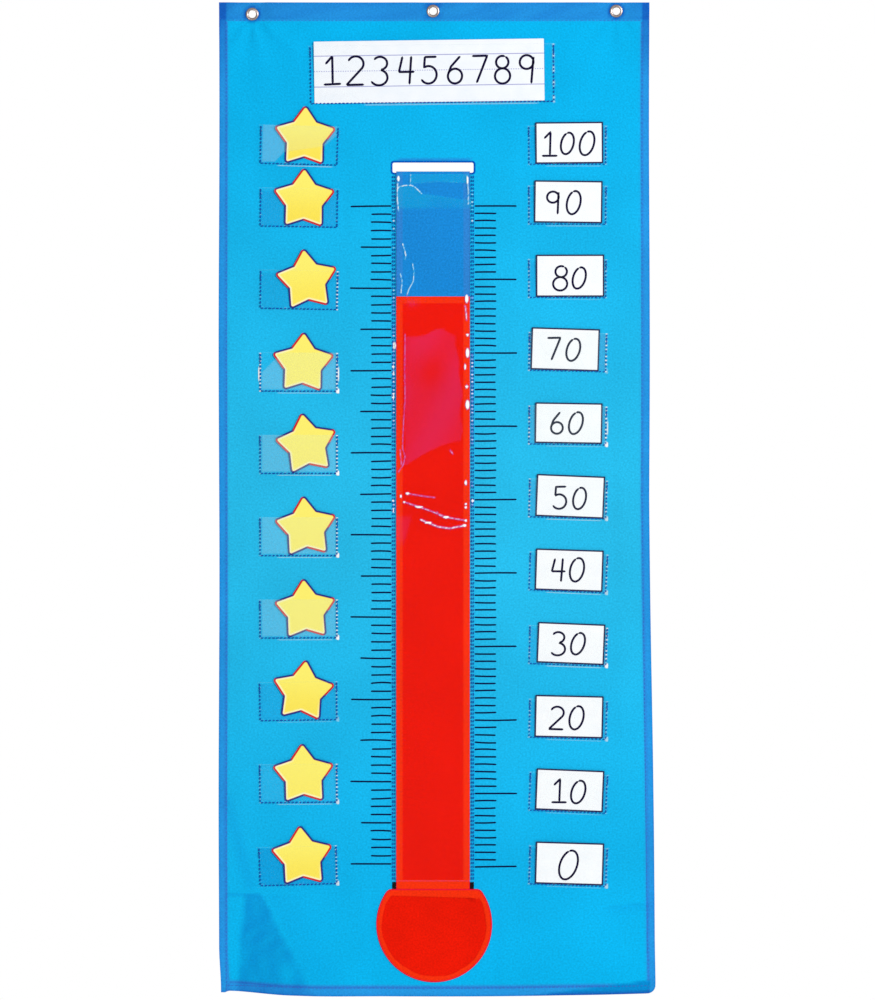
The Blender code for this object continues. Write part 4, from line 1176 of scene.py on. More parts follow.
def make_pocket(node, joint, columns, rows, veil_of, glint_of, kind):
    """A vinyl pocket in place of its solid. Its seams are kept for the thread work."""
    origin, right, up, half, mouth, lean = pocket_frame(node, joint)
    stitch = half - STITCH_INSET
    fixed = (stitch, stitch - SHOULDER, stitch - 0.9 * MM, stitch + 0.9 * MM, half - 0.7 * MM)
    a = np.unique(np.concatenate([
        np.linspace(-half, half, columns), [s * w for s in (-1, 1) for w in fixed]]))
    b = np.unique(np.concatenate([np.linspace(-STITCH_INSET, mouth, rows),
                                  [0, FOOT_SHOULDER, 0.7 * MM - STITCH_INSET, mouth - 0.6 * MM]]))
    A, B = np.meshgrid(a, b)
    open_share = ease((stitch - np.abs(A)) / SHOULDER) * ease(B / FOOT_SHOULDER)
    seed = origin[0] * 311 + origin[2] * 173
    wave = (np.sin(A * 95 + seed) * np.sin(B * 120 + A * 40 + seed) + 1) / 2
    lift = open_share * (CARD_ROOM + lean * np.clip(B, 0, None) + CROWN + RIPPLE * wave)
    pucker = PUCKER * (1 + np.cos(2 * np.pi * B / PITCH)) * np.exp(-((np.abs(A) - stitch) / (1.2 * MM)) ** 2)
    inner = origin + A[..., None] * right + B[..., None] * up
    inner[..., 1] = origin[1] - lift - np.where(np.abs(A) > stitch, pucker, 0)
    outer = inner - [0, VINYL, 0]
    marks = {"veil": veil_of(A, B, stitch, mouth), "glint": np.clip(glint_of(A, B, half, mouth), 0, 1),
             "blush": np.zeros(A.shape)}
    piece = shell(node + "_vinyl", outer, inner, clear_vinyl, np.stack([A, B], -1), marks)
    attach(piece, "chart")
    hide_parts(node)

    def line(*ends):
        """A seam between two places on the pocket, just in front of its face."""
        ends = np.array(ends)
        points = origin + ends[:, :1] * right + ends[:, 1:] * up
        points[:, 1] = origin[1] - VINYL - THREAD_LIFT
        return points

    top = mouth - MM
    seams[kind] += [line((-stitch, top), (-stitch, 0)), line((-stitch, 0), (stitch, 0)),
                    line((stitch, 0), (stitch, top))]
    tack = stitch + TACK_ASIDE
    seams["tacks"] += [line((s * tack, top), (s * tack, top - TACK_LENGTH)) for s in (-1, 1)]
    return piece


# %% [markdown]
# No two pockets shine alike. A veil fills a pocket up to just inside its seams, and sometimes a slanting
# line cuts it off. A blob of light sits in the lower right corner of some, and the specks along their
# seams come and go. So the two functions below make a veil and a glint with a character of its own.

# %% Veils and glints
VEIL_MARGIN = 2.2 * MM
POCKET_VEIL = 0.42


def whole_veil(strength, cut=None):
    """A painted reflection, a veil, inside the seams.

    cut is its side, 1 above or -1 below, and a line of places across and up in mm.
    """
    def veil(A, B, stitch, mouth):
        inset = np.minimum(np.minimum(stitch - np.abs(A), B), mouth - B + VEIL_MARGIN)
        share = ease((inset - VEIL_MARGIN / 2) / VEIL_MARGIN)
        if cut is not None:
            side, across, up = cut
            share = share * ease(side * (B / MM - np.interp(A / MM, across, up)) / 2.5 + 0.5)
        return POCKET_VEIL * strength * share
    return veil


def seam_glint(strength, left=0.0, right=0.0, foot=0.0, corner=0.0):
    """Painted highlights: specks at the seams, beads and patches up the left or right side, a pale foot edge,
    a corner blob and a faint line at the mouth.
    """
    def glint(A, B, half, mouth):
        seam = np.minimum(np.abs(np.abs(A) - half + STITCH_INSET), np.abs(B))
        spots = strength * np.exp(-(seam / (1.3 * MM)) ** 2) * specks(A, B, 1.9 * MM, 0.4)
        side_line = np.exp(-((np.abs(A) - half + STITCH_INSET) / (0.9 * MM)) ** 2)
        beads = 1.2 * side_line * needle_beads(B, mouth - MM) * (B > -MM)
        patch = ease(1 - np.abs(np.abs(A) - half + 1 * MM) / (1.3 * MM)) * ease(
            np.sin(B / (6.5 * MM) + half * 90) + 0.1)
        sides = np.where(A < 0, left, right)
        edges = np.maximum(np.clip(1.3 * sides, 0, 1) * beads, np.clip(3 * sides - 2, 0, 1) * patch)
        foot_edge = foot * ease(1 - (B + STITCH_INSET) / (1.1 * MM))
        foot_edge = foot_edge * ease((A + half * 0.55) / (4 * MM)) * ease((half * 0.86 - A) / (4 * MM))
        hot = corner * blob(A, B, (half - 1.6 * MM, 0.2 * MM), 2.5 * MM, 3.0 * MM)
        lip = 0.06 * ease(1 - (mouth - B) / (0.8 * MM))
        return np.maximum(np.maximum(spots, edges), np.maximum(hot, foot_edge + lip))
    return glint


# %% Pockets: the title, ten stars and eleven numbers
CORNER_CUT = (1, (-52, -32, -19, 31, 45), (0, 0, 14.5, 23, 36))
DIAGONAL_CUT = (-1, (-52, -47, -22.8, -20, 52), (17, 22, 45.9, 60, 60))
STAR_SHINE = (  # the veil's strength and cut, then left, right, foot and corner glints
    (0.95, CORNER_CUT, 0.0, 0.0, 0.4, 0.0),
    (0.05, None, 0.0, 0.0, 0.0, 0.0),
    (0.0, None, 0.0, 0.6, 0.0, 0.0),
    (1.0, DIAGONAL_CUT, 1.0, 1.0, 0.3, 1.0),
    (0.95, None, 0.1, 0.65, 0.3, 1.0),
    (0.9, None, 0.1, 0.6, 0.35, 0.9),
    (0.9, None, 0.1, 0.6, 0.3, 0.9),
    (0.0, None, 0.0, 0.15, 0.1, 0.15),
    (0.15, None, 0.1, 0.5, 0.25, 0.5),
    (0.0, None, 0.0, 0.3, 0.0, 0.5),
)
NUMBER_SHINE = (  # from 100 down to 0: the veil's strength, then left, right, foot and corner glints
    (0.0, 0.1, 0.15, 0.15, 0.0), (0.0, 0.2, 0.1, 0.2, 0.0), (0.0, 0.3, 0.15, 0.1, 0.0),
    (0.3, 0.35, 0.6, 0.0, 0.1), (0.35, 0.5, 0.9, 0.15, 0.8), (0.2, 0.45, 0.4, 0.35, 0.4),
    (0.05, 0.15, 0.3, 0.3, 0.3), (0.05, 0.2, 0.6, 0.35, 0.8), (0.0, 0.25, 0.15, 0.15, 0.3),
    (0.0, 0.15, 0.1, 0.1, 0.0), (0.0, 0.2, 0.15, 0.1, 0.3),
)
star_numbers = [f"{k:02d}" for k in range(1, 11)]
card_numbers = [f"{n:03d}" for n in range(100, -1, -10)]

make_pocket("title_pocket", "title_card_slide", 91, 21, whole_veil(0.0),
            seam_glint(0.1, 0.0, 0.35, 0.3, 0.0), "bold")
for number, (strength, cut, left, right, foot_line, corner) in zip(star_numbers, STAR_SHINE):
    make_pocket("star_pocket_" + number, f"star_{number}_slide", 67, 61, whole_veil(strength, cut),
                seam_glint(0.2, left, right, foot_line, corner), "bold")
for number, (strength, left, right, foot_line, corner) in zip(card_numbers, NUMBER_SHINE):
    make_pocket("number_pocket_" + number, f"number_{number}_slide", 55, 31, whole_veil(strength),
                seam_glint(0.15, left, right, foot_line, corner), "fine")
print("pockets", 1 + len(star_numbers) + len(card_numbers))
print("seams", {kind: len(lines) for kind, lines in seams.items()})

# %% [markdown]
# ## The sleeve over the tape
#
# The sleeve is one long strip of the same vinyl, sewn down its sides and open at both ends. It bellies
# over the tape, and its upper end is crumpled where fingers go in. The creases are given one by one, and
# each is both a low ridge and a line of painted highlight. A window is mirrored in the upper end as a pale
# field of painted reflection, and again below the level as a rosy one. Painted highlights sit as beads of
# white at the needle holes along both seams.

# %% The sleeve's size and grid
sleeve_half = (sleeve_high[0] - sleeve_low[0]) / 2
sleeve_length = sleeve_high[2] - sleeve_low[2]
SLEEVE_STITCH = 2.0 * MM
SLEEVE_SHOULDER = 2.6 * MM
seam_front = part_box("level_seam")[0][1]
sleeve_room = sleeve_high[1] - seam_front + 0.3 * MM

fixed = (0.7 * MM, SLEEVE_STITCH, SLEEVE_STITCH + SLEEVE_SHOULDER)
a = np.unique(np.concatenate([
    np.linspace(-sleeve_half, sleeve_half, 107), [s * (sleeve_half - w) for s in (-1, 1) for w in fixed]]))
marks_down = np.array([0, 48, 84, 156, 392, 445, sleeve_length / MM - 4, sleeve_length / MM])
cells = (48, 18, 66, 160, 52, 74, 5)  # how many cells each of these spans has, fine and coarse
b = np.concatenate([np.linspace(*span, n, endpoint=False) for span, n in zip(
    zip(marks_down[:-1], marks_down[1:]), cells)] + [marks_down[-1:]]) * MM
A, B = np.meshgrid(a, b[::-1])
x, y = A / MM, B / MM  # in mm: across from the middle, and down from the sleeve's upper end

# %% Creases of the sleeve
# Each crease is a line of points in mm, across and down, then its width and how brightly its painted
# highlight shines.
CREASE_LINES = (
    (((-44.2, 10.7), (-44.6, 31.2), (-43.2, 45.6)), 1.0, 0.75),
    (((-44.2, 17.9), (-41.1, 15.2), (-34.9, 14.0), (-27.8, 13.8), (-23.7, 15.2), (-19.5, 18.9),
      (-14.4, 24.0)), 1.0, 0.7),
    (((-27.8, 0.4), (-28.2, 12.8)), 1.1, 0.45),
    (((-26.8, 11.7), (6.1, 9.0), (30.8, 10.3)), 1.0, 0.18),
    (((42.5, 2.5), (44.1, 20.0), (44.1, 37.4)), 1.0, 0.6),
    (((-38.0, 86.7), (-35.4, 94.9), (-33.9, 102.1), (-34.9, 106.2)), 0.9, 0.85),
    (((-25.7, 111.3), (-23.7, 121.6), (-24.7, 133.9), (-30.4, 144.2), (-32.9, 152.4)), 0.9, 0.6),
    (((-40.7, 124.7), (-38.6, 133.9), (-40.1, 148.3)), 0.9, 0.65),
    (((40.4, 164.7), (42.1, 182.0)), 1.0, 0.8),
    (((-34.9, 200.6), (-35.4, 243.7), (-34.9, 280.7), (-37.0, 313.6), (-38.0, 342.3), (-34.9, 352.6),
      (-37.0, 362.8), (-43.2, 372.1)), 0.8, 0.3),
    (((-41.1, 344.4), (-40.1, 356.7), (-39.1, 362.8)), 0.8, 0.4),
    (((21.5, 345.4), (24.6, 348.9)), 0.9, 0.5),
    (((-31.9, 398.8), (-14.4, 401.9), (2.0, 403.9)), 0.9, 0.4),
    (((-36.0, 409.5), (-17.5, 415.6), (-4.1, 420.3), (16.4, 428.5), (41.0, 432.7)), 1.0, 0.55),
    (((-15.4, 431.6), (-4.1, 436.3), (6.1, 440.4), (20.5, 442.5), (40.0, 438.8)), 1.2, 0.8),
    (((5.1, 421.4), (8.2, 426.5), (13.3, 428.1)), 0.8, 0.4),
)
# Each hot spot is a painted highlight: its middle and its half width and half height in mm.
HOT_SPOTS = (
    (-43.2, 5.5, 1.5, 3.4), (43.1, 7.6, 1.1, 4.6), (42.1, 155.5, 2.0, 5.0), (43.1, 200.6, 1.6, 1.4),
    (43.1, 223.2, 2.1, 5.6), (40.0, 240.6, 1.1, 3.4), (42.1, 265.3, 1.7, 1.6), (43.1, 287.9, 2.3, 5.4),
    (41.0, 385.4, 1.5, 2.6), (41.0, 412.1, 1.3, 1.3), (41.0, 416.2, 1.4, 1.4), (41.0, 432.7, 1.4, 1.3),
    (39.4, 438.8, 2.2, 1.5), (49.8, 408.0, 1.5, 2.2), (-48.3, 214.0, 1.8, 4.8), (-49.7, 240.7, 1.3, 2.4),
    (-49.7, 247.8, 1.5, 1.8), (-49.9, 277.6, 1.5, 4.4), (-49.8, 408.0, 1.2, 1.4), (-49.8, 420.0, 1.3, 2.0),
    (-31.9, 398.8, 2.1, 1.5), (-40.1, 402.3, 1.2, 1.9), (-36.0, 409.5, 1.2, 1.1), (-17.5, 415.6, 4.6, 1.1),
    (16.4, 428.5, 3.8, 1.3), (-6.0, 435.4, 4.2, 1.2),
)
# Where painted highlights shine at the needle holes along the two seams: the side, first and last place down,
# and how much.
BEAD_RUNS = (
    (-1, 40, 74, 0.9), (-1, 88, 96, 0.6), (-1, 120, 136, 0.6), (-1, 138, 178, 0.9), (-1, 186, 330, 0.95),
    (-1, 360, 372, 0.4), (-1, 404, 426, 0.7), (1, 14, 62, 0.85), (1, 76, 84, 0.5), (1, 150, 162, 0.5),
    (1, 222, 340, 0.9), (1, 380, 392, 0.5), (1, 404, 416, 0.5),
)
stitch = sleeve_half - SLEEVE_STITCH
open_share = ease((stitch - np.abs(A)) / SLEEVE_SHOULDER)
# Ridges raise the sheet along the creases; shine is their painted highlight, and that of the hot spots.
ridges = np.zeros(A.shape)
shine = np.zeros(A.shape)
broken = 0.4 + 0.6 * ease(0.6 + np.sin(x * 1.1 + y * 0.7 + np.sin(y * 0.5)) * np.sin(y * 0.33 + x * 0.4))
for points, width, brightness in CREASE_LINES:
    ridges = np.maximum(ridges, trace(x, y, points, 2 * width))
    shine = np.maximum(shine, brightness * broken * trace(x, y, points, 0.75 * width))
for across, down, half_width, half_height in HOT_SPOTS:
    shine = np.maximum(shine, blob(x, y, (across, down), half_width, half_height))

# %% Veils of the sleeve
# Painted reflections: a pale window and a band in the upper end, and rosy patches below the level.
arch = 14 + 10 * ease((x + 26) / 14) + 6 * ease((x + 10) / 50)
window = ease((46 - y) / 7) * ease((y - arch) / 3) * (1.5 - 0.75 * ease((x + 22) / 30)) * ease((x + 45) / 2)
window *= 0.6 + 0.7 * np.exp(-np.clip(y - arch, 0, None) / 7)
band = 0.75 * ease((11.5 - 2.5 * bump(x, 6, 18) - y) / 1.5) * ease((x + 28) / 1.5) * ease((46 - x) / 5)
patch_top = 201 - 10 * bump(x, 8, 14)
patch_foot = 334 + 38 * np.clip((39 - x) / 82, 0, 1) ** 1.7
patch_side = 31 + 6 * ease((y - 215) / 50) + 1.5 * np.sin(y / 7)
patch = ease((y - patch_top) / 4) * ease((patch_foot - y) / 2.5) * ease((x + 35) / 1.5)
patch *= ease((patch_side - x) / 4)
patch *= 0.72 - 0.4 * bump(y, 245, 22) * ease((25 - x) / 30) + 0.2 * np.sin(x / 11 + y / 23)
tail = 0.5 * ease((y - 424) / 8) * ease((470 - y) / 20) * ease((-24 - 0.25 * (y - 424) - x) / 5)
tail *= ease((x + 46) / 2)
streak = 0.6 * bump(x, -26, 6) * bump(y, 161, 5)
red_veil = 0.24 * np.clip(patch + tail + streak, 0, 1)
blue_veil = np.clip(window + 1.3 * band, 0, 1.8)

# %% Sleeve
wander = (np.sin(B * 31) * np.sin(A * 40 + B * 13) + 1) / 2
belly = CROWN * (1 - (A / sleeve_half) ** 2)
lift = open_share * (sleeve_room + belly + 0.25 * MM * wander + 0.5 * MM * ridges)
pucker = 0.14 * MM * (1 + np.cos(2 * np.pi * B / PITCH)) * np.exp(-((np.abs(A) - stitch) / (1.5 * MM)) ** 2)
inner = np.stack([A, sleeve_high[1] - lift - np.where(np.abs(A) > stitch, pucker, 0), sleeve_high[2] - B], -1)
inner[..., 0] += (sleeve_high[0] + sleeve_low[0]) / 2
outer = inner - [0, VINYL, 0]

# Painted highlights: beads at the needle holes where BEAD_RUNS lets them shine, and along the cut edges and
# both ends.
beads = np.exp(-((np.abs(A) - stitch + 0.4 * MM) / (1.1 * MM)) ** 2)
beads *= needle_beads(B - MM, sleeve_length - 2 * MM)
presence = np.zeros(A.shape)
for side, first, last, amount in BEAD_RUNS:
    run = ease((y - first) / 4) * ease((last - y) / 4) * (0.6 + 0.4 * np.sin(y * 0.9) * np.sin(y * 0.37))
    presence = np.maximum(presence, amount * run * (side * x > 0))
cut_edge = 0.12 * ease(1 - (sleeve_half - np.abs(A)) / (0.9 * MM)) * specks(A, B, 8 * MM, 0.7)
ends = 0.12 * ease(1 - np.minimum(B, sleeve_length - B) / (0.9 * MM))
glint = np.clip(np.maximum(np.maximum(shine, 1.3 * beads * presence), cut_edge + ends), 0, 1)
sleeve = shell("sleeve_vinyl", outer, inner, clear_vinyl, np.stack([A, -B], -1),
               {"veil": red_veil + blue_veil, "glint": glint, "blush": np.where(y > 150, 1.0, 0.5)})
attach(sleeve, "chart")
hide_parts("tape_sleeve")
sleeve_front = sleeve_high[1] - VINYL - THREAD_LIFT
seam_places = [s * (stitch + w) for s in (-1, 1) for w in (-1.3 * MM, 1.1 * MM)]
sleeve_seams = [[(across, sleeve_front, sleeve_high[2] - MM), (across, sleeve_front, sleeve_low[2] + MM)]
                for across in seam_places]
print("sleeve", len(sleeve.data.polygons), "faces")

# %% [markdown]
# ## Seams
#
# The seams of the star pockets and of the number pockets are two pieces of thread work, and the sleeve's
# and the hems' are others. Stitches are about 5 mm apart, as on any cheap sewn chart, and each is drawn
# two or three times as fat as real thread, so that a single one shows. At the mouth of each pocket the
# machine sewed backwards for a few stitches, and those tacks lie close beside the seam.

# %% Stitches
hem_u = (SIDE_HEM - 1.3 * MM, panel_top_width - SIDE_HEM + 1.3 * MM)
side_drops = np.linspace(TOP_HEM, panel_height - 2 * MM, 80)
hem_seams = []
for u in hem_u:
    widen_here = (panel_width(side_drops) - panel_top_width) * (u > panel_top_width / 2)
    seam_x = panel_left + u + widen_here
    hem_seams.append(on_cloth(np.column_stack([seam_x, panel_top - side_drops]), THREAD_LIFT))
foot_u = np.linspace(SIDE_HEM, panel_top_width - SIDE_HEM, 80)
foot_x = panel_left + foot_u + (panel_foot_width - panel_top_width) * ease((foot_u - panel_top_width / 2)
                                                                         / (panel_top_width / 2 - SIDE_HEM))
foot_sag = FOOT_SAG * (1 - (2 * foot_u / panel_top_width - 1) ** 2)
foot_z = panel_top - panel_height + FOOT_HEM - 1.2 * MM - foot_sag
hem_seams.append(on_cloth(np.column_stack([foot_x, foot_z]), THREAD_LIFT))
top_x = panel_left + np.linspace(SIDE_HEM, panel_top_width - SIDE_HEM, 60)
top_seam = on_cloth(np.column_stack([top_x, np.full(60, panel_top - TOP_HEM + 1.2 * MM)]), THREAD_LIFT)

for name, lines, length, width, thread in (
        ("bold_pocket_stitches", seams["bold"], 3.1 * MM, 1.45 * MM, navy_thread),
        ("fine_pocket_stitches", seams["fine"], 3.0 * MM, 1.2 * MM, blue_thread),
        ("sleeve_stitches", sleeve_seams, 3.0 * MM, 1.05 * MM, navy_thread),
        ("hem_stitches", hem_seams, 3.3 * MM, 0.65 * MM, violet_thread),
        ("top_hem_stitches", [top_seam], 3.3 * MM, 0.5 * MM, violet_thread)):
    piece = stitches(name, lines, PITCH, length, width, thread)
    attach(piece, "chart")
    print(name, len(piece.data.polygons), "faces")

back_tacks = stitches("back_tacks", seams["tacks"], 3.2 * MM, 2.6 * MM, 1.1 * MM, navy_thread)
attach(back_tacks, "chart")

# %% [markdown]
# ## Card: plain, ruled and printed
#
# The number cards are white card with a thin dark border. The title card is a ruled writing strip. The
# stars are die-cut card with a printed edge line that runs from red to navy, a cream glow inside it and a
# yellow ground. A material can draw all of these from two things that each corner knows: its flat place
# on the card and its distance from the cut edge.

# %% Card materials


def smooth_step(tree, value, low, high):
    """0 below low, 1 above high and smooth between them, as a socket."""
    step = add(tree, "ShaderNodeMapRange", {"Value": value, "From Min": low, "From Max": high},
               interpolation_type="SMOOTHSTEP")
    return step.outputs[0]


def mottled(tree, color, other):
    """Two tones of card in soft patches, as a socket."""
    place = add(tree, "ShaderNodeTexCoord").outputs["Object"]
    mottle = add(tree, "ShaderNodeTexNoise", {"Vector": place, "Scale": 60.0, "Detail": 2.0}).outputs["Fac"]
    return mixed(tree, mottle, linear(color), linear(other))


def card_surface(tree, output, color, roughness):
    """Coated card: a faint fibre grain in the surface, matt to satin."""
    place = add(tree, "ShaderNodeTexCoord").outputs["Object"]
    fibre = add(tree, "ShaderNodeTexNoise", {"Vector": place, "Scale": 900.0, "Detail": 4.0})
    bump = add(tree, "ShaderNodeBump",
               {"Height": fibre.outputs["Fac"], "Strength": 0.08, "Distance": 0.04 * MM})
    skin = add(tree, "ShaderNodeBsdfPrincipled", {
        "Base Color": color, "Roughness": roughness, "Specular IOR Level": 0.3, "Normal": bump.outputs[0]})
    tree.links.new(skin.outputs[0], output.inputs["Surface"])


BORDER_END = (1.6, 2.1)  # in mm from the cut edge, where the printed border gives way to white
RULES = ((20.4 * MM, False), (1.2 * MM, True), (-18.1 * MM, False))  # a line's height, and if it is dashed
DASH_PITCH = 3.0 * MM

bordered_card, tree, output = new_material("white_card_with_border")
within = smooth_step(tree, mark_socket(tree, "edge"), *BORDER_END)
white = mottled(tree, "#E9EDF1", "#F4F5F6")
card_surface(tree, output, mixed(tree, within, linear("#0C0844"), white), 0.6)

ruled_card, tree, output = new_material("ruled_writing_card")
flat = add(tree, "ShaderNodeUVMap", uv_map="flat").outputs[0]
axes = add(tree, "ShaderNodeSeparateXYZ", {"Vector": flat})
color = mottled(tree, "#E4EAF2", "#F2F3F6")
for height, dashed in RULES:
    off = add(tree, "ShaderNodeMath", {0: axes.outputs["Y"], 1: height}, operation="SUBTRACT")
    off = add(tree, "ShaderNodeMath", {0: off.outputs[0]}, operation="ABSOLUTE")
    line = add(tree, "ShaderNodeMapRange", {
        "Value": off.outputs[0], "From Min": 0.35 * MM, "From Max": 0.75 * MM, "To Min": 0.8, "To Max": 0.0})
    if dashed:
        beat = add(tree, "ShaderNodeMath", {0: axes.outputs["X"], 1: 2 * math.pi / DASH_PITCH},
                   operation="MULTIPLY")
        beat = add(tree, "ShaderNodeMath", {0: beat.outputs[0]}, operation="SINE")
        dash = add(tree, "ShaderNodeMapRange", {"Value": beat.outputs[0], "From Min": -0.2, "From Max": 0.2})
        line = add(tree, "ShaderNodeMath", {0: line.outputs[0], 1: dash.outputs[0]}, operation="MULTIPLY")
    color = mixed(tree, line.outputs[0], color, linear("#7C7CC0"))
card_surface(tree, output, color, 0.55)

star_print, tree, output = new_material("printed_star_card")
edge, redness, glow, warmth = (mark_socket(tree, name) for name in ("edge", "red_run", "glow", "warmth"))
ground = mixed(tree, warmth, linear("#F8EA68"), linear("#F6DE4A"))
inner = mixed(tree, smooth_step(tree, edge, 2.4, 5.4), linear("#FBF6C4"), ground)
ground = mixed(tree, glow, ground, inner)
line_color = mixed(tree, redness, linear("#08187C"), linear("#CC0418"))
line_color = mixed(tree, smooth_step(tree, edge, 1.5, 2.8), line_color, linear("#D8702C"))
cover = smooth_step(tree, edge, 2.0, 2.7)
card_surface(tree, output, mixed(tree, cover, line_color, ground), 0.4)
print("card materials", bordered_card.name, ruled_card.name, star_print.name)

# %% [markdown]
# ## Numbers drawn by hand
#
# The numbers are one stroke wide, as a teacher writes them with a marker. Each figure is a few strokes in
# a box one unit high: straight lines, arcs and leaning ovals. A seeded wobble keeps repeated figures from
# being copies of each other. These are plain figures of this notebook's own.

# %% Figures


def oval(cx, cy, rx, ry, start, end, lean=0.0, steps=28):
    """Part of a leaning oval: x is pushed over in proportion to the height above its centre."""
    t = np.linspace(math.radians(start), math.radians(end), steps)
    y = ry * np.sin(t)
    return np.column_stack([cx + rx * np.cos(t) + lean * y, cy + y])


def joined(*parts):
    """One stroke made of several, put end to end."""
    return np.concatenate([np.atleast_2d(np.asarray(p, float)) for p in parts])


FIGURES = {
    "0": (0.62, [oval(0.31, 0.5, 0.27, 0.48, 110, 470, 0.16)]),
    "1": (0.60, [[(0.10, 0.72), (0.34, 0.98), (0.33, 0.05)], [(0.02, 0.03), (0.62, 0.03)]]),
    "2": (0.62, [joined(oval(0.30, 0.72, 0.26, 0.25, 160, -35), [(0.02, 0.02), (0.60, 0.04)])]),
    "3": (0.60, [joined(oval(0.26, 0.75, 0.24, 0.22, 150, -80), oval(0.25, 0.27, 0.29, 0.26, 80, -150))]),
    "4": (0.62, [[(0.16, 0.96), (0.06, 0.42), (0.60, 0.44)], [(0.46, 0.98), (0.44, 0.0)]]),
    "5": (0.60, [joined([(0.54, 0.97), (0.12, 0.96), (0.10, 0.58)],
                        oval(0.26, 0.33, 0.29, 0.31, 115, -150))]),
    "6": (0.58, [joined([(0.44, 0.98), (0.14, 0.60)], oval(0.30, 0.27, 0.25, 0.26, 165, 520))]),
    "7": (0.60, [[(0.04, 0.95), (0.58, 0.96), (0.22, 0.0)]]),
    "8": (0.60, [joined(oval(0.30, 0.75, 0.22, 0.22, 60, 270), oval(0.29, 0.26, 0.27, 0.27, 90, -270),
                        oval(0.30, 0.75, 0.22, 0.22, -90, 60))]),
    "9": (0.58, [joined(oval(0.26, 0.74, 0.24, 0.24, 20, 380), [(0.49, 0.95), (0.46, 0.0)])]),
}


def written(text, height, widen, gap, lean=0.02):
    """The strokes of a number, centred on the origin, this high. Each figure is turned and moved a little.

    widen stretches the figures sideways. gap is the space between them as a share of their height.
    """
    strokes, x = [], 0.0
    for figure in text:
        width, parts = FIGURES[figure]
        width = width * widen
        angle, grow = rng.normal(0, 0.035), 1 + rng.normal(0, 0.03)
        shift = rng.normal(0, 0.02, 2)
        turn = np.array([[math.cos(angle), math.sin(angle)], [-math.sin(angle), math.cos(angle)]])
        for part in parts:
            points = (np.asarray(part, float) * [widen, 1] - [width / 2, 0.5]) * grow @ turn
            points[:, 0] += lean * points[:, 1]
            strokes.append(points + [x + width / 2, 0] + shift)
        x += width + gap
    middle = (x - gap) / 2
    return [(stroke - [middle, 0]) * height for stroke in strokes]


# %% [markdown]
# ## Cards in their pockets
#
# A card's solid tells its plane: its corners spread most along its length, less along its height and
# least through its thickness, and a singular value decomposition finds those three directions. The new
# card is a cut-out in that plane, and its figures are ribbons on the same plane.

# %% Card planes
INK_FILM = 0.05 * MM


def card_plane(node):
    """A card's centre, its directions to the right, up and out of the front, and its half sizes."""
    points = corners(node)
    centre = (points.max(0) + points.min(0)) / 2
    axes = np.linalg.svd(points - centre, full_matrices=False)[2]
    right, up = axes[0] * np.sign(axes[0][0]), axes[1] * np.sign(axes[1][2])
    out = axes[2] * -np.sign(axes[2][1])
    half = np.abs((points - centre) @ np.stack([right, up, out], 1)).max(0)
    return centre, right, up, out, half


def on_plane(centre, right, up, out, face):
    """A function that lays flat points on a card's front face, at a height above it."""
    def place(flat, height=0.0, edge=None):
        return centre + flat[:, :1] * right + flat[:, 1:2] * up + out * (face + height)
    return place


CARD_RINGS = np.concatenate([[1, 0.99, 0.975, 0.96, 0.94], np.linspace(0.9, 0.1, 7)])


def with_straights(outline, step):
    """An outline's own points, with more between them wherever a side is longer than the step."""
    ends = np.roll(outline, -1, axis=0)
    counts = np.maximum(np.ceil(np.linalg.norm(ends - outline, axis=1) / step).astype(int), 1)
    return np.concatenate([a + (b - a) * np.arange(n)[:, None] / n for a, b, n in zip(outline, ends, counts)])


def make_card(node, body, material, strokes, ink_width):
    """A rectangular card with its number, in place of its solid. Both ride on the card's own body."""
    centre, right, up, out, half = card_plane(node)
    place = on_plane(centre, right, up, out, half[2])
    outline = with_straights(rounded(half[0], half[1], 0.9 * MM, 4), 4 * MM)
    card = cut_out(node + "_board", outline, CARD_RINGS, place, 2 * half[2], material)
    ink = ribbons(node + "_figures", strokes, ink_width, INK_FILM, place, marker_ink)
    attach(card, body)
    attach(ink, body)
    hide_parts(node)


FIGURE_HEIGHT = 29.5 * MM
LONE_ZERO_HEIGHT = 38 * MM

for number in card_numbers:
    drift = np.array([rng.normal(-2, 1.2), rng.normal(-0.5, 0.8)]) * MM
    height = FIGURE_HEIGHT if int(number) else LONE_ZERO_HEIGHT
    strokes = [stroke + drift for stroke in written(str(int(number)), height, 1.05, 0.17)]
    make_card("number_card_" + number, "number_" + number, bordered_card, strokes, 2.7 * MM)
title_strokes = [stroke + [0, 1.5 * MM] for stroke in written("123456789", 36 * MM, 1.0, 0.25)]
make_card("title_card", "title", ruled_card, title_strokes, 2.9 * MM)
print("cards written", len(card_numbers) + 1)

# %% [markdown]
# ## Stars
#
# A star is its outline and nothing more: five tips, each rounded by an arc that touches both of its
# sides, and five sharp waists. The tip and waist radii are read from the solid, and the arc is worked out
# from them. The print's edge line is red on the upper left of each star and on its right, navy elsewhere.

# %% Stars
TIP_ROUNDING = 4.2 * MM
STAR_WARMTH = (0.9, 1.0, 0.7, 0.1, 0.2, 0.2, 0.2, 0.8, 0.3, 0.8)  # how golden each star is at its foot
RED_RUNS = ((95, 122, 6), (164, 191, 7), (272, 301, 6), (0, 19, 6))  # from, to and fade, in degrees


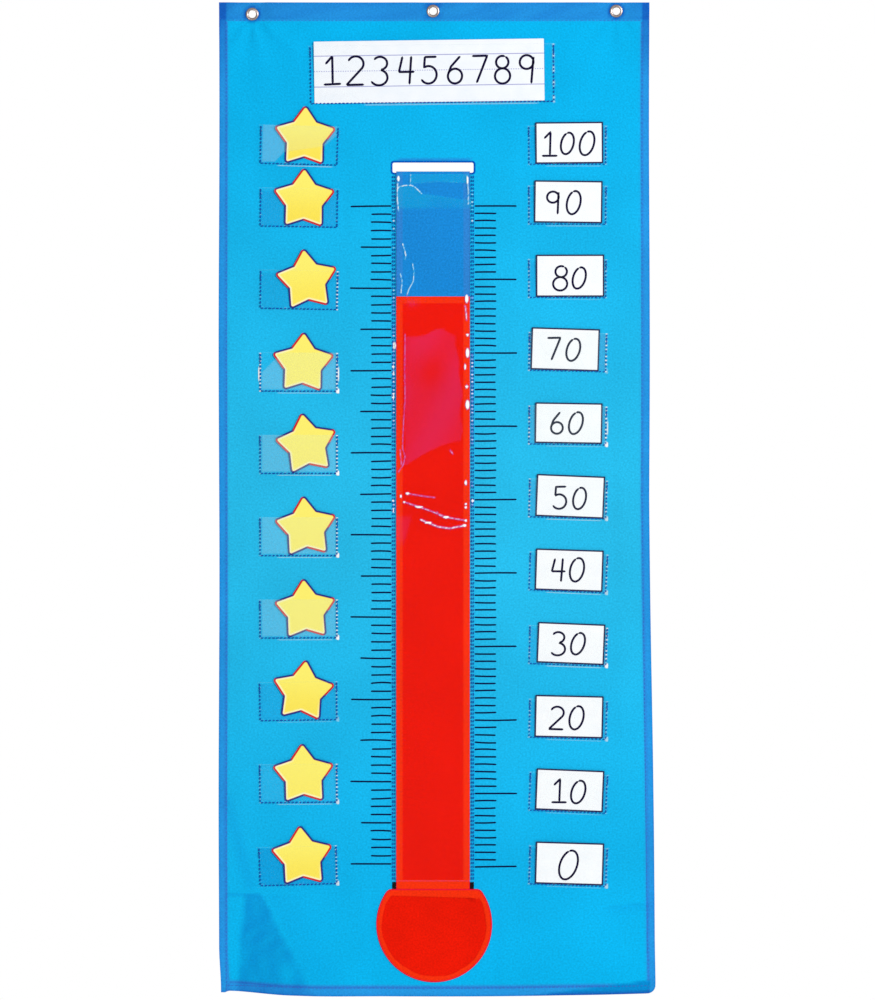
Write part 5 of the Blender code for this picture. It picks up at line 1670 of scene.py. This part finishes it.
def star_plane(node):
    """A star's centre, its directions, its half thickness, and the radii of its tips and waists."""
    points = corners(node)
    out = np.linalg.svd(points - points.mean(0), full_matrices=False)[2][2]
    out = out * -np.sign(out[1])
    centre = points.mean(0)
    flat = points - centre - np.outer((points - centre) @ out, out)
    radius = np.linalg.norm(flat, axis=1)
    peak = flat[np.argmax(flat[:, 2])]
    up = flat[np.linalg.norm(flat - peak, axis=1) < 2 * TIP_ROUNDING].mean(0)
    up = up / np.linalg.norm(up)
    right = np.cross(up, out) * -1
    right = right * np.sign(right[0])
    half = np.abs((points - centre) @ out).max()
    return centre, right, up, out, half, radius.max(), radius.min()


def star_outline(tip, waist):
    """Ten straight sides and five arcs. A side leaves a waist and touches the arc of its tip."""
    centre = tip - TIP_ROUNDING
    across, along = waist * math.sin(math.pi / 5), centre - waist * math.cos(math.pi / 5)
    side = math.atan2(across, along) - math.asin(TIP_ROUNDING / math.hypot(across, along))
    opening = math.pi / 2 - side
    parts = []
    for k in range(5):
        heading = math.pi / 2 + k * 2 * math.pi / 5
        hub = (centre * math.cos(heading), centre * math.sin(heading))
        parts.append(arc(hub, TIP_ROUNDING, heading - opening, heading + opening, 13))
        between = heading + math.pi / 5
        parts.append([(waist * math.cos(between), waist * math.sin(between))])
    return np.concatenate(parts)


def run_share(flat):
    """1 in the directions where the printed line is red, 0 where it is navy."""
    angle = np.degrees(np.arctan2(flat[:, 1], flat[:, 0]))
    share = np.zeros(len(flat))
    for start, end, fade in RED_RUNS:
        middle, reach = (start + end) / 2, (end - start) / 2
        off = np.abs((angle - middle + 180) % 360 - 180)
        share = np.maximum(share, ease((reach + fade - off) / fade))
    return share


for number, warm in zip(star_numbers, STAR_WARMTH):
    centre, right, up, out, half, tip, waist = star_plane("star_card_" + number)
    outline = with_straights(star_outline(tip, waist), 1.2 * MM)
    star = cut_out(f"star_{number}_board", outline,
                   np.concatenate([[1, 0.985, 0.97, 0.955, 0.94, 0.92, 0.9], np.linspace(0.86, 0.1, 9)]),
                   on_plane(centre, right, up, out, half), 2 * half, star_print, {
                       "red_run": run_share,
                       "glow": lambda flat: ease((0.45 - (flat[:, 0] + 0.9 * flat[:, 1]) / (40 * MM)) / 0.7),
                       "warmth": lambda flat: warm * ease(0.5 - flat[:, 1] / (50 * MM))})
    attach(star, "star_" + number)
    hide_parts("star_card_" + number)
print("stars", len(star_numbers))
